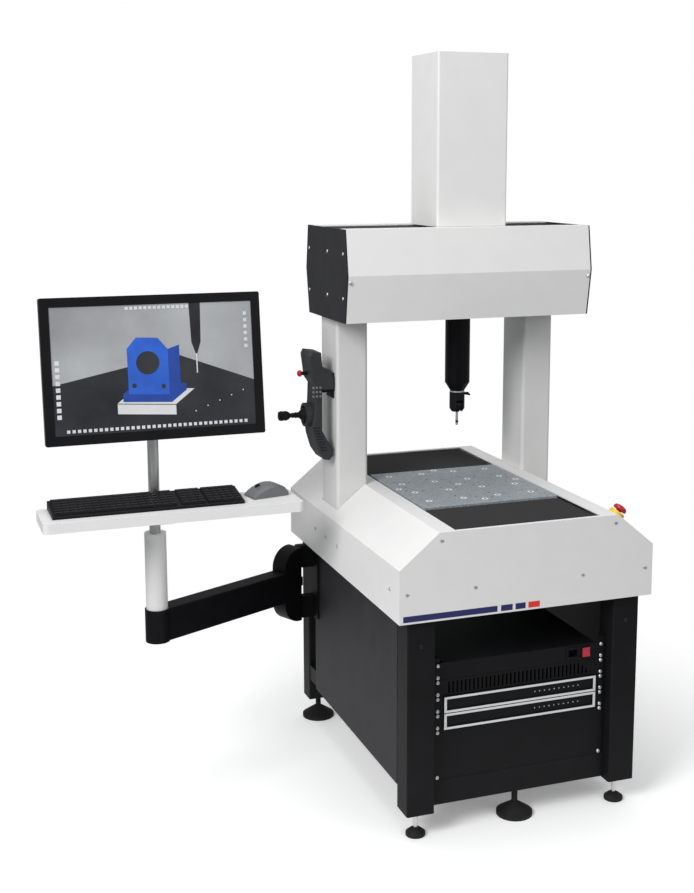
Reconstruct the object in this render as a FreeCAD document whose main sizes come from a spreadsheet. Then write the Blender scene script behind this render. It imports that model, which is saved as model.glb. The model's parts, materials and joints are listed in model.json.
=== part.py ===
import FreeCAD, Part
import math
import os
import Sketcher

# A moving-table coordinate measuring machine with its workstation arm.
# Millimetres, +Z up, X to the right, Y away from the operator.
# The origin is on the floor, at the middle of the front support foot.

SIZES = {
    # feet
    "foot_setback": 67.0,
    "bell_radius": 48.0,
    "bell_rim": 9.0,
    "bell_height": 36.0,
    "bell_stud": 8.0,
    "level_pad_radius": 25.0,
    "level_pad_height": 12.0,
    "level_stud": 5.5,
    # stand
    "stand_half_width": 325.2,
    "stand_end_gap": 25.0,
    "stand_top": 600.0,
    "leg_setback": 14.3,
    "leg_width": 75.1,
    "leg_depth": 72.0,
    "rear_leg_depth": 63.0,
    "leg_bottom": 67.6,
    "leg_round": 5.0,
    "rail_height": 46.0,
    "rail_width": 40.0,
    "plate_thickness": 2.5,
    "plate_bottom": 127.0,
    "plate_end_gap": 65.0,
    "beam_bottom": 78.0,
    "beam_height": 44.0,
    "beam_depth": 45.5,
    # rack, by the 19-inch standard
    "rack_setback": 42.0,
    "rack_drop": 146.8,
    "rack_pitch": 44.45,
    "rack_half_width": 241.3,
    "rack_play": 0.4,
    "rail_flange": 24.1,
    "rail_return": 38.0,
    "rail_sheet": 2.0,
    "chassis_half_width": 216.0,
    "power_depth": 360.0,
    "controller_depth": 290.0,
    "controller_proud": 5.0,
    "fascia_recess": 3.0,
    "frame_bar": 8.0,
    "blank_units": 3.0,
    "kick_bottom": 75.0,
    "vent_slot": 5.0,
    "vent_slot_height": 31.0,
    "vent_pitch": 11.5,
    "vent_slots": 36.0,
    "inlet_reach": 149.2,
    "inlet_width": 27.0,
    "inlet_height": 19.0,
    "inlet_depth": 16.0,
    "inlet_frame_width": 38.0,
    "inlet_frame_height": 32.0,
    "rocker_reach": 187.5,
    "rocker_width": 21.4,
    "rocker_height": 25.0,
    "rocker_play": 0.3,
    "rocker_swing": 1.6,
    # covers of the base
    "cover_half_width": 352.8,
    "cover_drop": 19.2,
    "cover_shoulder_rise": 117.7,
    "cover_rise": 204.4,
    "cover_top_reach": 248.3,
    "opening_half_width": 202.4,
    "cover_length": 913.0,
    "rim_depth": 12.0,
    "cover_sheet": 3.0,
    # granite base, rails and table
    "seat_play": 0.3,
    "granite_height": 112.0,
    "granite_end_gap": 81.0,
    "guide_rail_width": 20.0,
    "guide_rail_height": 14.0,
    "table_rail_reach": 130.0,
    "table_rail_start": 20.0,
    "slider_wall": 18.0,
    "slider_length": 60.0,
    "slider_play": 0.3,
    "carriage_half_width": 180.0,
    "carriage_front": 265.0,
    "carriage_length": 340.0,
    "carriage_rise": 40.0,
    "carriage_plate": 12.0,
    "table_half_width": 195.5,
    "table_front": 233.3,
    "table_length": 405.1,
    "table_thickness": 54.0,
    "table_chamfer": 2.0,
    "insert_pitch": 100.0,
    "insert_shift": -4.0,
    "insert_shift_back": 8.0,
    "edge_insert_reach": 178.0,
    "insert_radius": 6.0,
    "insert_depth": 18.0,
    "insert_thread_radius": 3.4,
    "screw_radius": 8.0,
    "screw_rise": 14.0,
    "nut_play": 0.3,
    "bearing_play": 0.1,
    "bearing_block_length": 25.0,
    "bearing_block_reach": 25.0,
    "bearing_block_wall": 12.0,
    "motor_plate": 7.0,
    "motor_half_width": 25.0,
    "motor_length": 58.0,
    "bellows_half_width": 200.0,
    "bellows_below_table": 5.0,
    "bellows_drop": 26.0,
    "fold_height": 5.0,
    "front_folds": 14.0,
    "rear_folds": 17.0,
    # columns, beam and their covers
    "column_inner": 238.3,
    "column_outer": 329.3,
    "column_front": 538.9,
    "column_depth": 137.3,
    "column_round": 9.0,
    "column_gap": 0.6,
    "beam_cover_drop": 13.1,
    "beam_cover_ridge_rise": 125.0,
    "beam_cover_height": 245.0,
    "beam_front_top": 385.0,
    "beam_front_ridge": 366.0,
    "beam_front_bottom": 386.0,
    "beam_rear_top": 701.0,
    "beam_rear_ridge": 719.0,
    "beam_rear_bottom": 694.0,
    "beam_cover_reach": 353.7,
    "beam_cap": 4.0,
    "slot_front": 440.0,
    "slot_rear": 636.0,
    "quill_slot_front": 470.0,
    "quill_slot_rear": 590.0,
    "granite_beam_reach": 350.0,
    "granite_beam_front": 596.0,
    "granite_beam_rear": 676.0,
    "column_height": 578.0,
    "granite_beam_height": 206.0,
    "beam_rail_rise": 40.0,
    "beam_rail_spread": 130.0,
    "magnet_thickness": 8.0,
    "magnet_half_height": 22.0,
    "way_bellows_below": 2.9,
    "way_bellows_height": 19.0,
    "way_folds": 16.0,
    # carriage, tower and quill
    "quill_reach": 27.5,
    "quill_setback": 530.0,
    "quill_radius": 35.0,
    "quill_wall": 6.0,
    "quill_play": 0.3,
    "quill_length": 659.0,
    "quill_taper": 24.0,
    "quill_nose_radius": 20.0,
    "quill_rise": 218.1,
    "saddle_half_width": 82.0,
    "saddle_rise": 10.0,
    "saddle_front": 478.0,
    "tower_left": -75.6,
    "tower_right": 130.6,
    "tower_front": 440.6,
    "tower_rear": 632.2,
    "tower_height": 460.7,
    "tower_sheet": 3.0,
    "tower_round": 6.0,
    "tower_play": 0.4,
    "spine_front": 572.0,
    "spine_depth": 44.0,
    "spine_half_width": 46.0,
    "spine_below": 17.6,
    # indexing head and probe
    "head_radius": 21.5,
    "collar_height": 4.0,
    "head_length": 60.0,
    "head_round": 6.0,
    "knuckle_radius": 14.5,
    "knuckle_half_width": 9.5,
    "knuckle_pin": 3.0,
    "pivot_rise": 18.0,
    "lever_reach": 38.0,
    "lever_drop": 10.0,
    "lever_radius": 3.2,
    "probe_radius": 3.6,
    "probe_band": 4.0,
    "band_height": 7.0,
    "ball_radius": 3.8,
    "probe_length": 40.0,
    # emergency stop on the base cover
    "stop_reach": 285.0,
    "stop_setback": 85.0,
    "stop_collar_radius": 21.0,
    "stop_collar_height": 17.0,
    "stop_stem_radius": 11.0,
    "stop_cap_radius": 19.0,
    "stop_cap_gap": 5.0,
    "stop_cap_height": 15.0,
    # workstation arm
    "hub_reach": 372.4,
    "hub_setback": 772.2,
    "post_reach": 841.0,
    "post_setback": 540.0,
    "arm_half_width": 27.0,
    "arm_drop": 88.0,
    "arm_height": 91.0,
    "hub_height": 222.0,
    "hub_length": 66.0,
    "hub_round": 58.0,
    "hub_end": 14.0,
    "hinge_radius": 12.0,
    "hinge_pin_radius": 6.0,
    "hinge_play": 0.3,
    "middle_knuckle": 12.0,
    "outer_knuckle": 44.0,
    "bracket_plate": 6.0,
    "bracket_half_depth": 52.0,
    "boss_radius": 33.0,
    "tube_radius": 29.0,
    "tube_wall": 4.0,
    "tube_play": 0.3,
    "tube_rise": 210.0,
    "tube_bush": 40.0,
    "post_radius": 14.6,
    "post_rise": 493.0,
    "post_foot_drop": 47.0,
    "piston_height": 16.0,
    "tray_rise": 93.0,
    "tray_thickness": 25.5,
    "tray_left": 309.0,
    "tray_right": 362.0,
    "tray_front": 176.0,
    "tray_rear": 16.0,
    "tray_round": 14.0,
    "clamp_radius": 24.0,
    "clamp_height": 34.0,
    "clamp_play": 0.3,
    "keyboard_left": 281.0,
    "keyboard_width": 493.0,
    "keyboard_front": 137.0,
    "keyboard_depth": 116.0,
    "keyboard_front_height": 12.0,
    "keyboard_rear_height": 27.0,
    "mouse_offset": 288.0,
    "mouse_front": 72.0,
    "mouse_length": 104.0,
    "mouse_width": 60.0,
    "mouse_height": 34.0,
    "screen_width": 568.0,
    "screen_height": 372.5,
    "screen_thickness": 22.0,
    "screen_bezel": 24.0,
    "screen_recess": 2.0,
    "screen_below": 45.0,
    "screen_forward": 62.0,
    "screen_tilt": 7.45,
    "screen_round": 5.0,
    "vesa_thickness": 3.0,
    "vesa_half": 55.0,
    "ear_thickness": 7.0,
    "ear_radius": 8.0,
    "tilt_pin_radius": 4.0,
    "tilt_block_half": 13.0,
    "mount_height": 46.0,
    "mount_clamp_radius": 20.0,
    "tilt_depth": 34.0,
    # hand pendant
    "pendant_setback": 590.0,
    "pendant_half_width": 42.0,
    "pendant_round": 7.0,
    "hook_plate": 3.0,
    "hook_half_width": 30.0,
    "shelf_drop": 214.0,
    "gimbal_below_shelf": 72.0,
    "gimbal_out": 72.0,
    "gimbal_half": 3.5,
    "gimbal_pin_radius": 2.0,
    "gimbal_pin_half": 7.5,
    "gimbal_ear": 2.6,
    "gimbal_drop": 10.0,
    "boot_room_radius": 16.0,
    "boot_room_depth": 8.0,
    "dome_radius": 24.0,
    "grip_radius": 13.5,
    "grip_start": 118.0,
    "grip_length": 35.0,
    "boot_base_radius": 33.0,
    "pendant_stop_above_shelf": 44.0,
    "pendant_stop_radius": 9.0,
}

doc = FreeCAD.newDocument("CoordinateMeasuringMachine")
sheet = doc.addObject("Spreadsheet::Sheet", "Dimensions")
nodes = []


class Size:
    """A length with the spreadsheet formula that gives it, so that arithmetic keeps the link."""

    def __init__(self, value, formula):
        self.value = float(value)
        self.formula = formula

    def __float__(self):
        return self.value

    def __add__(self, other):
        return combine(self, "+", other)

    def __radd__(self, other):
        return combine(other, "+", self)

    def __sub__(self, other):
        return combine(self, "-", other)

    def __rsub__(self, other):
        return combine(other, "-", self)

    def __mul__(self, other):
        return combine(self, "*", other)

    def __rmul__(self, other):
        return combine(other, "*", self)

    def __truediv__(self, other):
        return combine(self, "/", other)

    def __neg__(self):
        return combine(0, "-", self)


def as_size(number):
    """A Size as it is, or a plain number as a Size of its own."""
    if isinstance(number, Size):
        return number
    return Size(number, "(%r)" % float(number))


def combine(left, sign, right):
    """Two sizes joined by one arithmetic sign, as a value and as a formula."""
    left = as_size(left)
    right = as_size(right)
    results = {
        "+": lambda: left.value + right.value,
        "-": lambda: left.value - right.value,
        "*": lambda: left.value * right.value,
        "/": lambda: left.value / right.value,
    }
    return Size(results[sign](), "(%s %s %s)" % (left.formula, sign, right.formula))


def fill_sheet():
    """Write every driving size into the spreadsheet under its own alias."""
    for row, (name, value) in enumerate(SIZES.items(), start=1):
        sheet.set("A%d" % row, name)
        sheet.set("B%d" % row, repr(value))
        sheet.setAlias("B%d" % row, name)
    doc.recompute()


class Sizes:
    """The driving sizes by name."""

    def __getattr__(self, name):
        return Size(SIZES[name], "Dimensions." + name)


fill_sheet()
size = Sizes()

# Lengths and heights that follow from what they stand on.
size.stand_back = size.cover_length - size.stand_end_gap
size.granite_length = size.cover_length - size.granite_end_gap
size.rack_top = size.stand_top - size.rack_drop
size.cover_bottom = size.stand_top - size.cover_drop
size.cover_shoulder = size.stand_top + size.cover_shoulder_rise
size.cover_top = size.stand_top + size.cover_rise
size.granite_top = size.stand_top + size.granite_height
size.screw_height = size.granite_top + size.screw_rise
size.bearing_block_top = size.screw_height + size.bearing_block_wall
size.carriage_top = size.granite_top + size.carriage_rise
size.table_top = size.carriage_top + size.table_thickness
size.bellows_top = size.table_top - size.bellows_below_table
size.granite_beam_bottom = size.granite_top + size.column_height
size.granite_beam_top = size.granite_beam_bottom + size.granite_beam_height
size.beam_rail_low = size.granite_beam_bottom + size.beam_rail_rise
size.beam_rail_high = size.beam_rail_low + size.beam_rail_spread
size.beam_cover_bottom = size.granite_beam_bottom - size.beam_cover_drop
size.beam_cover_ridge = size.beam_cover_bottom + size.beam_cover_ridge_rise
size.beam_cover_top = size.beam_cover_bottom + size.beam_cover_height
size.way_bellows_top = size.beam_cover_top - size.way_bellows_below
size.way_bellows_bottom = size.way_bellows_top - size.way_bellows_height
size.saddle_bottom = size.granite_beam_bottom + size.saddle_rise
size.tower_top = size.beam_cover_top + size.tower_height
size.spine_top = size.tower_top - size.spine_below
size.quill_top = size.beam_cover_top + size.quill_rise
size.quill_shoulder = size.quill_top - size.quill_length
size.quill_nose = size.quill_shoulder - size.quill_taper
size.lever_height = size.quill_nose - size.lever_drop
size.head_bottom = size.quill_nose - size.head_length
size.pivot_height = size.head_bottom + size.pivot_rise
size.tip_height = size.head_bottom - size.probe_length
size.arm_top = size.stand_top - size.arm_drop
size.tube_top = size.arm_top + size.tube_rise
size.post_foot = size.arm_top - size.post_foot_drop
size.post_top = size.tube_top + size.post_rise
size.tray_top = size.tube_top + size.tray_rise
size.screen_centre = size.post_top - size.screen_below
size.shelf_height = size.granite_beam_bottom - size.shelf_drop
size.gimbal_height = size.shelf_height - size.gimbal_below_shelf
size.pendant_stop_height = size.shelf_height + size.pendant_stop_above_shelf

AXIS = {
    "X": FreeCAD.Vector(1, 0, 0),
    "Y": FreeCAD.Vector(0, 1, 0),
    "Z": FreeCAD.Vector(0, 0, 1),
}
# Turns that lay an upright piece along each axis.
ALONG = {
    "X": FreeCAD.Rotation(AXIS["Y"], 90),
    "-X": FreeCAD.Rotation(AXIS["Y"], -90),
    "Y": FreeCAD.Rotation(AXIS["X"], -90),
    "Z": FreeCAD.Rotation(),
}


def bind(item, path, value):
    """Tie one property to the spreadsheet."""
    item.setExpression(path, as_size(value).formula)


def place(item, base, turn=FreeCAD.Rotation()):
    """Put a piece at a point, which stays tied to the sheet."""
    item.Placement = FreeCAD.Placement(FreeCAD.Vector(*[float(v) for v in base]), turn)
    for axis, value in zip("xyz", base):
        bind(item, "Placement.Base." + axis, value)


def block(name, low, high):
    """A box between two opposite corners."""
    item = doc.addObject("Part::Box", name)
    pairs = [sorted((as_size(a), as_size(b)), key=float) for a, b in zip(low, high)]
    place(item, [pair[0] for pair in pairs])
    for path, (start, end) in zip(("Length", "Width", "Height"), pairs):
        bind(item, path, end - start)
    return item


def rod(name, base, radius, length, along="Z"):
    """A cylinder from its base along an axis."""
    item = doc.addObject("Part::Cylinder", name)
    place(item, base, ALONG[along])
    bind(item, "Radius", radius)
    bind(item, "Height", length)
    return item


def octagon(name, base, radius, length):
    """An upright eight-sided bar from its base."""
    item = doc.addObject("Part::Prism", name)
    item.Polygon = 8
    place(item, base)
    bind(item, "Circumradius", radius)
    bind(item, "Height", length)
    return item


def sketch_on(body, plane, name):
    """An empty sketch on one of the body's own origin planes."""
    origin_plane = [f for f in body.Origin.OriginFeatures if f.Role == plane + "_Plane"][0]
    sketch = body.newObject("Sketcher::SketchObject", name)
    sketch.AttachmentSupport = (origin_plane, [""])
    sketch.MapMode = "FlatFace"
    return sketch


def draw_outline(sketch, corners):
    """Draw a closed outline of straight lines, each corner tied to its two sizes."""
    first = sketch.GeometryCount
    points = [FreeCAD.Vector(float(across), float(up), 0) for across, up in corners]
    count = len(points)
    for i in range(count):
        sketch.addGeometry(Part.LineSegment(points[i], points[(i + 1) % count]), False)
    for i in range(count):
        sketch.addConstraint(
            Sketcher.Constraint("Coincident", first + i, 2, first + (i + 1) % count, 1)
        )
    for i, corner in enumerate(corners):
        for kind, value in zip(("DistanceX", "DistanceY"), corner):
            value = as_size(value)
            index = sketch.addConstraint(
                Sketcher.Constraint(kind, -1, 1, first + i, 1, value.value)
            )
            label = "%s_%d" % (kind, first + i)
            sketch.renameConstraint(index, label)
            bind(sketch, "Constraints." + label, value)


def prism(name, plane, corners, low, high):
    """A body padded from an outline on a plane, between two places along the plane's normal."""
    body = doc.addObject("PartDesign::Body", name)
    add_pad(body, name, plane, corners, low, high)
    return body


def add_pad(body, name, plane, corners, low, high):
    """One more pad on a body. The XZ plane's normal is -Y, so its start is the far side."""
    sketch = sketch_on(body, plane, name + "_outline")
    draw_outline(sketch, corners)
    start = -as_size(high) if plane == "XZ" else low
    bind(sketch, "AttachmentOffset.Base.z", start)
    pad = body.newObject("PartDesign::Pad", name + "_pad")
    pad.Profile = sketch
    bind(pad, "Length", as_size(high) - low)
    body.Tip = pad
    return pad


def add_pocket(body, name, plane, corners, low, high):
    """A pocket through a body between two places along the plane's normal."""
    sketch = sketch_on(body, plane, name + "_outline")
    draw_outline(sketch, corners)
    start = -as_size(low) if plane == "XZ" else high
    bind(sketch, "AttachmentOffset.Base.z", start)
    pocket = body.newObject("PartDesign::Pocket", name + "_pocket")
    pocket.Profile = sketch
    bind(pocket, "Length", as_size(high) - low)
    body.Tip = pocket
    return pocket


def repeat(body, feature, sketch_axis, step, count):
    """Repeat a body's feature in a row along an axis of its own sketch."""
    doc.recompute()
    row = body.newObject("PartDesign::LinearPattern", feature.Name + "_row")
    row.Originals = [feature]
    row.Direction = (feature.Profile[0], [sketch_axis])
    bind(row, "Length", as_size(step) * (as_size(count) - 1))
    bind(row, "Occurrences", count)
    body.Tip = row
    return row


def lathe(name, outline, base, turn=FreeCAD.Rotation()):
    """A turned body: an outline of (radius, height) corners swept round its own upright axis."""
    body = doc.addObject("PartDesign::Body", name)
    sketch = sketch_on(body, "XZ", name + "_outline")
    draw_outline(sketch, outline)
    turned = body.newObject("PartDesign::Revolution", name + "_turned")
    turned.Profile = sketch
    turned.ReferenceAxis = (sketch, ["V_Axis"])
    turned.Angle = 360
    body.Tip = turned
    place(body, base, turn)
    return body


def parallel(axis):
    """A test that picks the straight edges that run along an axis."""

    def wanted(edge):
        if edge.Curve.TypeId != "Part::GeomLine":
            return False
        return abs(edge.tangentAt(edge.FirstParameter).dot(AXIS[axis])) > 0.999

    return wanted


def round_edges(body, radius, wanted):
    """Fillet the body's edges that a test picks."""
    doc.recompute()
    base = body.Tip
    picked = ["Edge%d" % (i + 1) for i, edge in enumerate(base.Shape.Edges) if wanted(edge)]
    fillet = body.newObject("PartDesign::Fillet", body.Name + "_round")
    fillet.Base = (base, picked)
    bind(fillet, "Radius", radius)
    body.Tip = fillet
    return fillet


def chamfer_edges(body, width, wanted):
    """Chamfer the body's edges that a test picks."""
    doc.recompute()
    base = body.Tip
    picked = ["Edge%d" % (i + 1) for i, edge in enumerate(base.Shape.Edges) if wanted(edge)]
    chamfer = body.newObject("PartDesign::Chamfer", body.Name + "_chamfer")
    chamfer.Base = (base, picked)
    bind(chamfer, "Size", width)
    body.Tip = chamfer
    return chamfer


def join(name, *pieces):
    """One solid from pieces that touch."""
    item = doc.addObject("Part::MultiFuse", name)
    item.Shapes = list(pieces)
    item.Refine = True
    return item


def group(name, *pieces):
    """Separate solids that share one node."""
    item = doc.addObject("Part::Compound", name)
    item.Links = list(pieces)
    return item


def cut(name, base, *tools):
    """A piece with one or more others taken away."""
    item = doc.addObject("Part::Cut", name)
    item.Base = base
    item.Tool = tools[0] if len(tools) == 1 else group(name + "_tools", *tools)
    return item


def node(name, item):
    """Name a finished piece."""
    item.Label = name
    nodes.append(item)
    return item


# Places that several pieces share. Y is counted from the front foot.
cover_face = -size.foot_setback
leg_face = cover_face + size.leg_setback
leg_inner = size.stand_half_width - size.leg_width
leg_rear_face = cover_face + size.stand_back
rear_leg_front = leg_rear_face - size.rear_leg_depth
leg_middle_x = size.stand_half_width - size.leg_width / 2
level_y = leg_face + size.leg_depth / 2
rear_foot_y = leg_rear_face - size.rear_leg_depth / 2
rack_face = cover_face + size.rack_setback
rail_face = rack_face + size.plate_thickness
SIDES = {"left": -1, "right": 1}


def unit_top(number):
    """Height of the top of a rack unit, the first being 0."""
    return size.rack_top - number * size.rack_pitch


def make_feet():
    """Three bell feet that carry the machine, and two levellers under the front legs."""
    places = [
        ("front", 0, as_size(0), size.beam_bottom),
        ("rear_left", -leg_middle_x, rear_foot_y, size.leg_bottom),
        ("rear_right", leg_middle_x, rear_foot_y, size.leg_bottom),
    ]
    bells = []
    for name, x, y, top in places:
        outline = [
            (0, 0),
            (size.bell_radius, 0),
            (size.bell_radius, size.bell_rim),
            (size.bell_stud, size.bell_height),
            (size.bell_stud, top),
            (0, top),
        ]
        bells.append(lathe(name + "_bell", outline, (x, y, 0)))
    node("support_feet", group("support_feet_group", *bells))

    pads = []
    for side, sign in SIDES.items():
        outline = [
            (0, 0),
            (size.level_pad_radius, 0),
            (size.level_pad_radius, size.level_pad_height * 0.4),
            (size.level_stud, size.level_pad_height),
            (size.level_stud, size.leg_bottom),
            (0, size.leg_bottom),
        ]
        pads.append(lathe(side + "_leveller", outline, (leg_middle_x * sign, level_y, 0)))
    node("levelling_feet", group("levelling_feet_group", *pads))


def make_side_frames():
    """Each side of the stand: two legs with a top and a bottom rail welded between them."""
    for side, sign in SIDES.items():
        outer = size.stand_half_width * sign
        inner = leg_inner * sign
        corners = [
            (inner, leg_face),
            (outer, leg_face),
            (outer, leg_face + size.leg_depth),
            (inner, leg_face + size.leg_depth),
        ]
        front_leg = prism(side + "_front_leg", "XY", corners, size.leg_bottom, size.stand_top)
        round_edges(front_leg, size.leg_round, parallel("Z"))
        corners = [
            (inner, rear_leg_front),
            (outer, rear_leg_front),
            (outer, leg_rear_face),
            (inner, leg_rear_face),
        ]
        rear_leg = prism(side + "_rear_leg", "XY", corners, size.leg_bottom, size.stand_top)
        round_edges(rear_leg, size.leg_round, parallel("Z"))
        rails = []
        for level, top in (
            ("top", size.stand_top),
            ("bottom", size.plate_bottom + size.rail_height + 6),
        ):
            rail_outer = outer - size.plate_thickness * sign
            rails.append(
                block(
                    "%s_%s_rail" % (side, level),
                    (rail_outer, leg_face + size.leg_depth - 2, top - size.rail_height),
                    (rail_outer - size.rail_width * sign, rear_leg_front + 2, top),
                )
            )
        node(side + "_side_frame", join(side + "_side_frame_weld", front_leg, rear_leg, *rails))


def make_stand_plates():
    """Side plates, cross beams and rack rails."""
    plates = []
    for side, sign in SIDES.items():
        outer = size.stand_half_width * sign
        plates.append(
            block(
                side + "_plate",
                (outer, leg_face + size.leg_depth, size.plate_bottom),
                (
                    outer - size.plate_thickness * sign,
                    rear_leg_front - size.plate_end_gap,
                    size.stand_top,
                ),
            )
        )
    node("side_panels", group("side_panels_group", *plates))

    front_beam = block(
        "front_beam",
        (-leg_inner, rail_face, size.beam_bottom),
        (leg_inner, rail_face + size.beam_depth, size.beam_bottom + size.beam_height),
    )
    rear_beam = block(
        "rear_beam",
        (-leg_inner, leg_rear_face - size.beam_depth, size.plate_bottom),
        (leg_inner, leg_rear_face, size.plate_bottom + size.beam_height),
    )
    node("cross_beams", group("cross_beams_group", front_beam, rear_beam))

    rails = []
    for side, sign in SIDES.items():
        wall = leg_inner * sign
        web = wall - size.rail_sheet * sign
        lip = wall - size.rail_flange * sign
        corners = [
            (lip, rail_face),
            (wall, rail_face),
            (wall, rail_face + size.rail_return),
            (web, rail_face + size.rail_return),
            (web, rail_face + size.rail_sheet),
            (lip, rail_face + size.rail_sheet),
        ]
        low = size.beam_bottom + size.beam_height + size.rail_sheet
        rails.append(prism(side + "_rack_rail", "XY", corners, low, size.rack_top + 12))
    node("rack_rails", group("rack_rails_group", *rails))


def rack_plate(name, first_unit, units):
    """A 19-inch front plate of so many units."""
    return block(
        name,
        (-size.rack_half_width, rack_face, unit_top(first_unit + units) + size.rack_play),
        (size.rack_half_width, rail_face, unit_top(first_unit) - size.rack_play),
    )


def make_power_unit():
    """Mains unit: front plate, chassis, appliance inlet and the window for its rocker."""
    middle = unit_top(0) - size.rack_pitch / 2
    plate = rack_plate("power_plate", 0, 1)
    chassis = block(
        "power_chassis",
        (-size.chassis_half_width, rail_face, unit_top(1) + size.rack_play * 2),
        (size.chassis_half_width, rail_face + size.power_depth, unit_top(0) - size.rack_play * 2),
    )
    inlet_frame = block(
        "inlet_frame",
        (
            size.inlet_reach - size.inlet_frame_width / 2,
            rack_face - 2,
            middle - size.inlet_frame_height / 2,
        ),
        (
            size.inlet_reach + size.inlet_frame_width / 2,
            rack_face,
            middle + size.inlet_frame_height / 2,
        ),
    )
    window_half = size.rocker_width / 2 + size.rocker_play
    window_rise = size.rocker_height / 2 + size.rocker_swing
    rocker_frame = block(
        "rocker_frame",
        (size.rocker_reach - window_half - 3, rack_face - 2, middle - window_rise - 2),
        (size.rocker_reach + window_half + 3, rack_face, middle + window_rise + 2),
    )
    socket = block(
        "inlet_socket",
        (
            size.inlet_reach - size.inlet_width / 2,
            rack_face - 3,
            middle - size.inlet_height / 2,
        ),
        (
            size.inlet_reach + size.inlet_width / 2,
            rack_face + size.inlet_depth,
            middle + size.inlet_height / 2,
        ),
    )
    window = block(
        "rocker_window",
        (size.rocker_reach - window_half, rack_face - 3, middle - window_rise),
        (size.rocker_reach + window_half, rack_face + 14, middle + window_rise),
    )
    pins = []
    for offset, drop in ((-7, 2), (0, -2), (7, 2)):
        pins.append(
            block(
                "inlet_pin",
                (size.inlet_reach + offset - 1, rack_face + 4, middle - drop - 2),
                (size.inlet_reach + offset + 1, rack_face + size.inlet_depth + 1, middle - drop + 2),
            )
        )
    shell = join("power_shell", plate, chassis, inlet_frame, rocker_frame)
    hollow = cut("power_hollow", shell, socket, window)
    node("power_unit", join("power_unit_whole", hollow, *pins))

    half = size.rocker_height / 2
    proud = rack_face - 5
    corners = [
        (proud, middle - half),
        (rack_face - 1.5, middle),
        (proud + 1, middle + half),
        (rack_face + 8, middle + half * 0.6),
        (rack_face + 8, middle - half * 0.6),
    ]
    rocker = prism(
        "rocker_body",
        "YZ",
        corners,
        size.rocker_reach - size.rocker_width / 2,
        size.rocker_reach + size.rocker_width / 2,
    )
    pivot = rod(
        "rocker_pivot",
        (size.rocker_reach - size.rocker_width / 2 - 0.2, rack_face + 5, middle),
        2,
        size.rocker_width + 0.4,
        "X",
    )
    node("rocker_switch", join("rocker_with_pivot", rocker, pivot))


def make_vent_panel():
    """A one-unit plate with a row of upright slots."""
    bottom = unit_top(2) + size.rack_play
    top = unit_top(1) - size.rack_play
    corners = [
        (-size.rack_half_width, bottom),
        (size.rack_half_width, bottom),
        (size.rack_half_width, top),
        (-size.rack_half_width, top),
    ]
    panel = prism("vent_plate", "XZ", corners, rack_face, rail_face)
    middle = (top + bottom) / 2
    first = -size.vent_pitch * (size.vent_slots - 1) / 2
    slot = [
        (first - size.vent_slot / 2, middle - size.vent_slot_height / 2),
        (first + size.vent_slot / 2, middle - size.vent_slot_height / 2),
        (first + size.vent_slot / 2, middle + size.vent_slot_height / 2),
        (first - size.vent_slot / 2, middle + size.vent_slot_height / 2),
    ]
    doc.recompute()
    pocket = add_pocket(panel, "vent_slot", "XZ", slot, rack_face - 1, rail_face + 1)
    repeat(panel, pocket, "H_Axis", size.vent_pitch, size.vent_slots)
    node("vent_panel", panel)


def make_controllers():
    """Two one-unit controllers with a raised frame round a recessed fascia."""
    for name, unit in (("upper_controller", 2), ("lower_controller", 3)):
        bottom = unit_top(unit + 1) + size.rack_play
        top = unit_top(unit) - size.rack_play
        reach = size.chassis_half_width
        face = rack_face - size.controller_proud
        case = block(
            name + "_case",
            (-reach, face, bottom),
            (reach, rail_face + size.controller_depth, top),
        )
        recess = block(
            name + "_recess",
            (-reach + size.frame_bar, face - 1, bottom + size.frame_bar),
            (reach - size.frame_bar, face + size.fascia_recess, top - size.frame_bar),
        )
        framed = cut(name + "_framed", case, recess)
        ears = [
            block(
                "%s_%s_ear" % (name, side),
                ((reach - 1) * sign, rack_face, bottom),
                (size.rack_half_width * sign, rail_face, top),
            )
            for side, sign in SIDES.items()
        ]
        node(name, join(name + "_whole", framed, *ears))


def make_blank_panels():
    """A three-unit plate with its edges folded back, and the kick plate below it."""
    plate = rack_plate("blank_plate", 4, size.blank_units)
    bottom = unit_top(4 + size.blank_units) + size.rack_play
    top = unit_top(4) - size.rack_play
    folds = [
        block(
            "blank_fold",
            (-size.chassis_half_width, rack_face, low),
            (size.chassis_half_width, rail_face + 12, low + size.rail_sheet),
        )
        for low in (bottom, top - size.rail_sheet)
    ]
    node("blank_panel", join("blank_panel_folded", plate, *folds))
    kick = block(
        "kick_plate",
        (-(leg_inner - size.rack_play), rack_face, size.kick_bottom),
        (leg_inner - size.rack_play, rail_face, unit_top(7) - size.rack_play),
    )
    node("kick_panel", kick)


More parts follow.
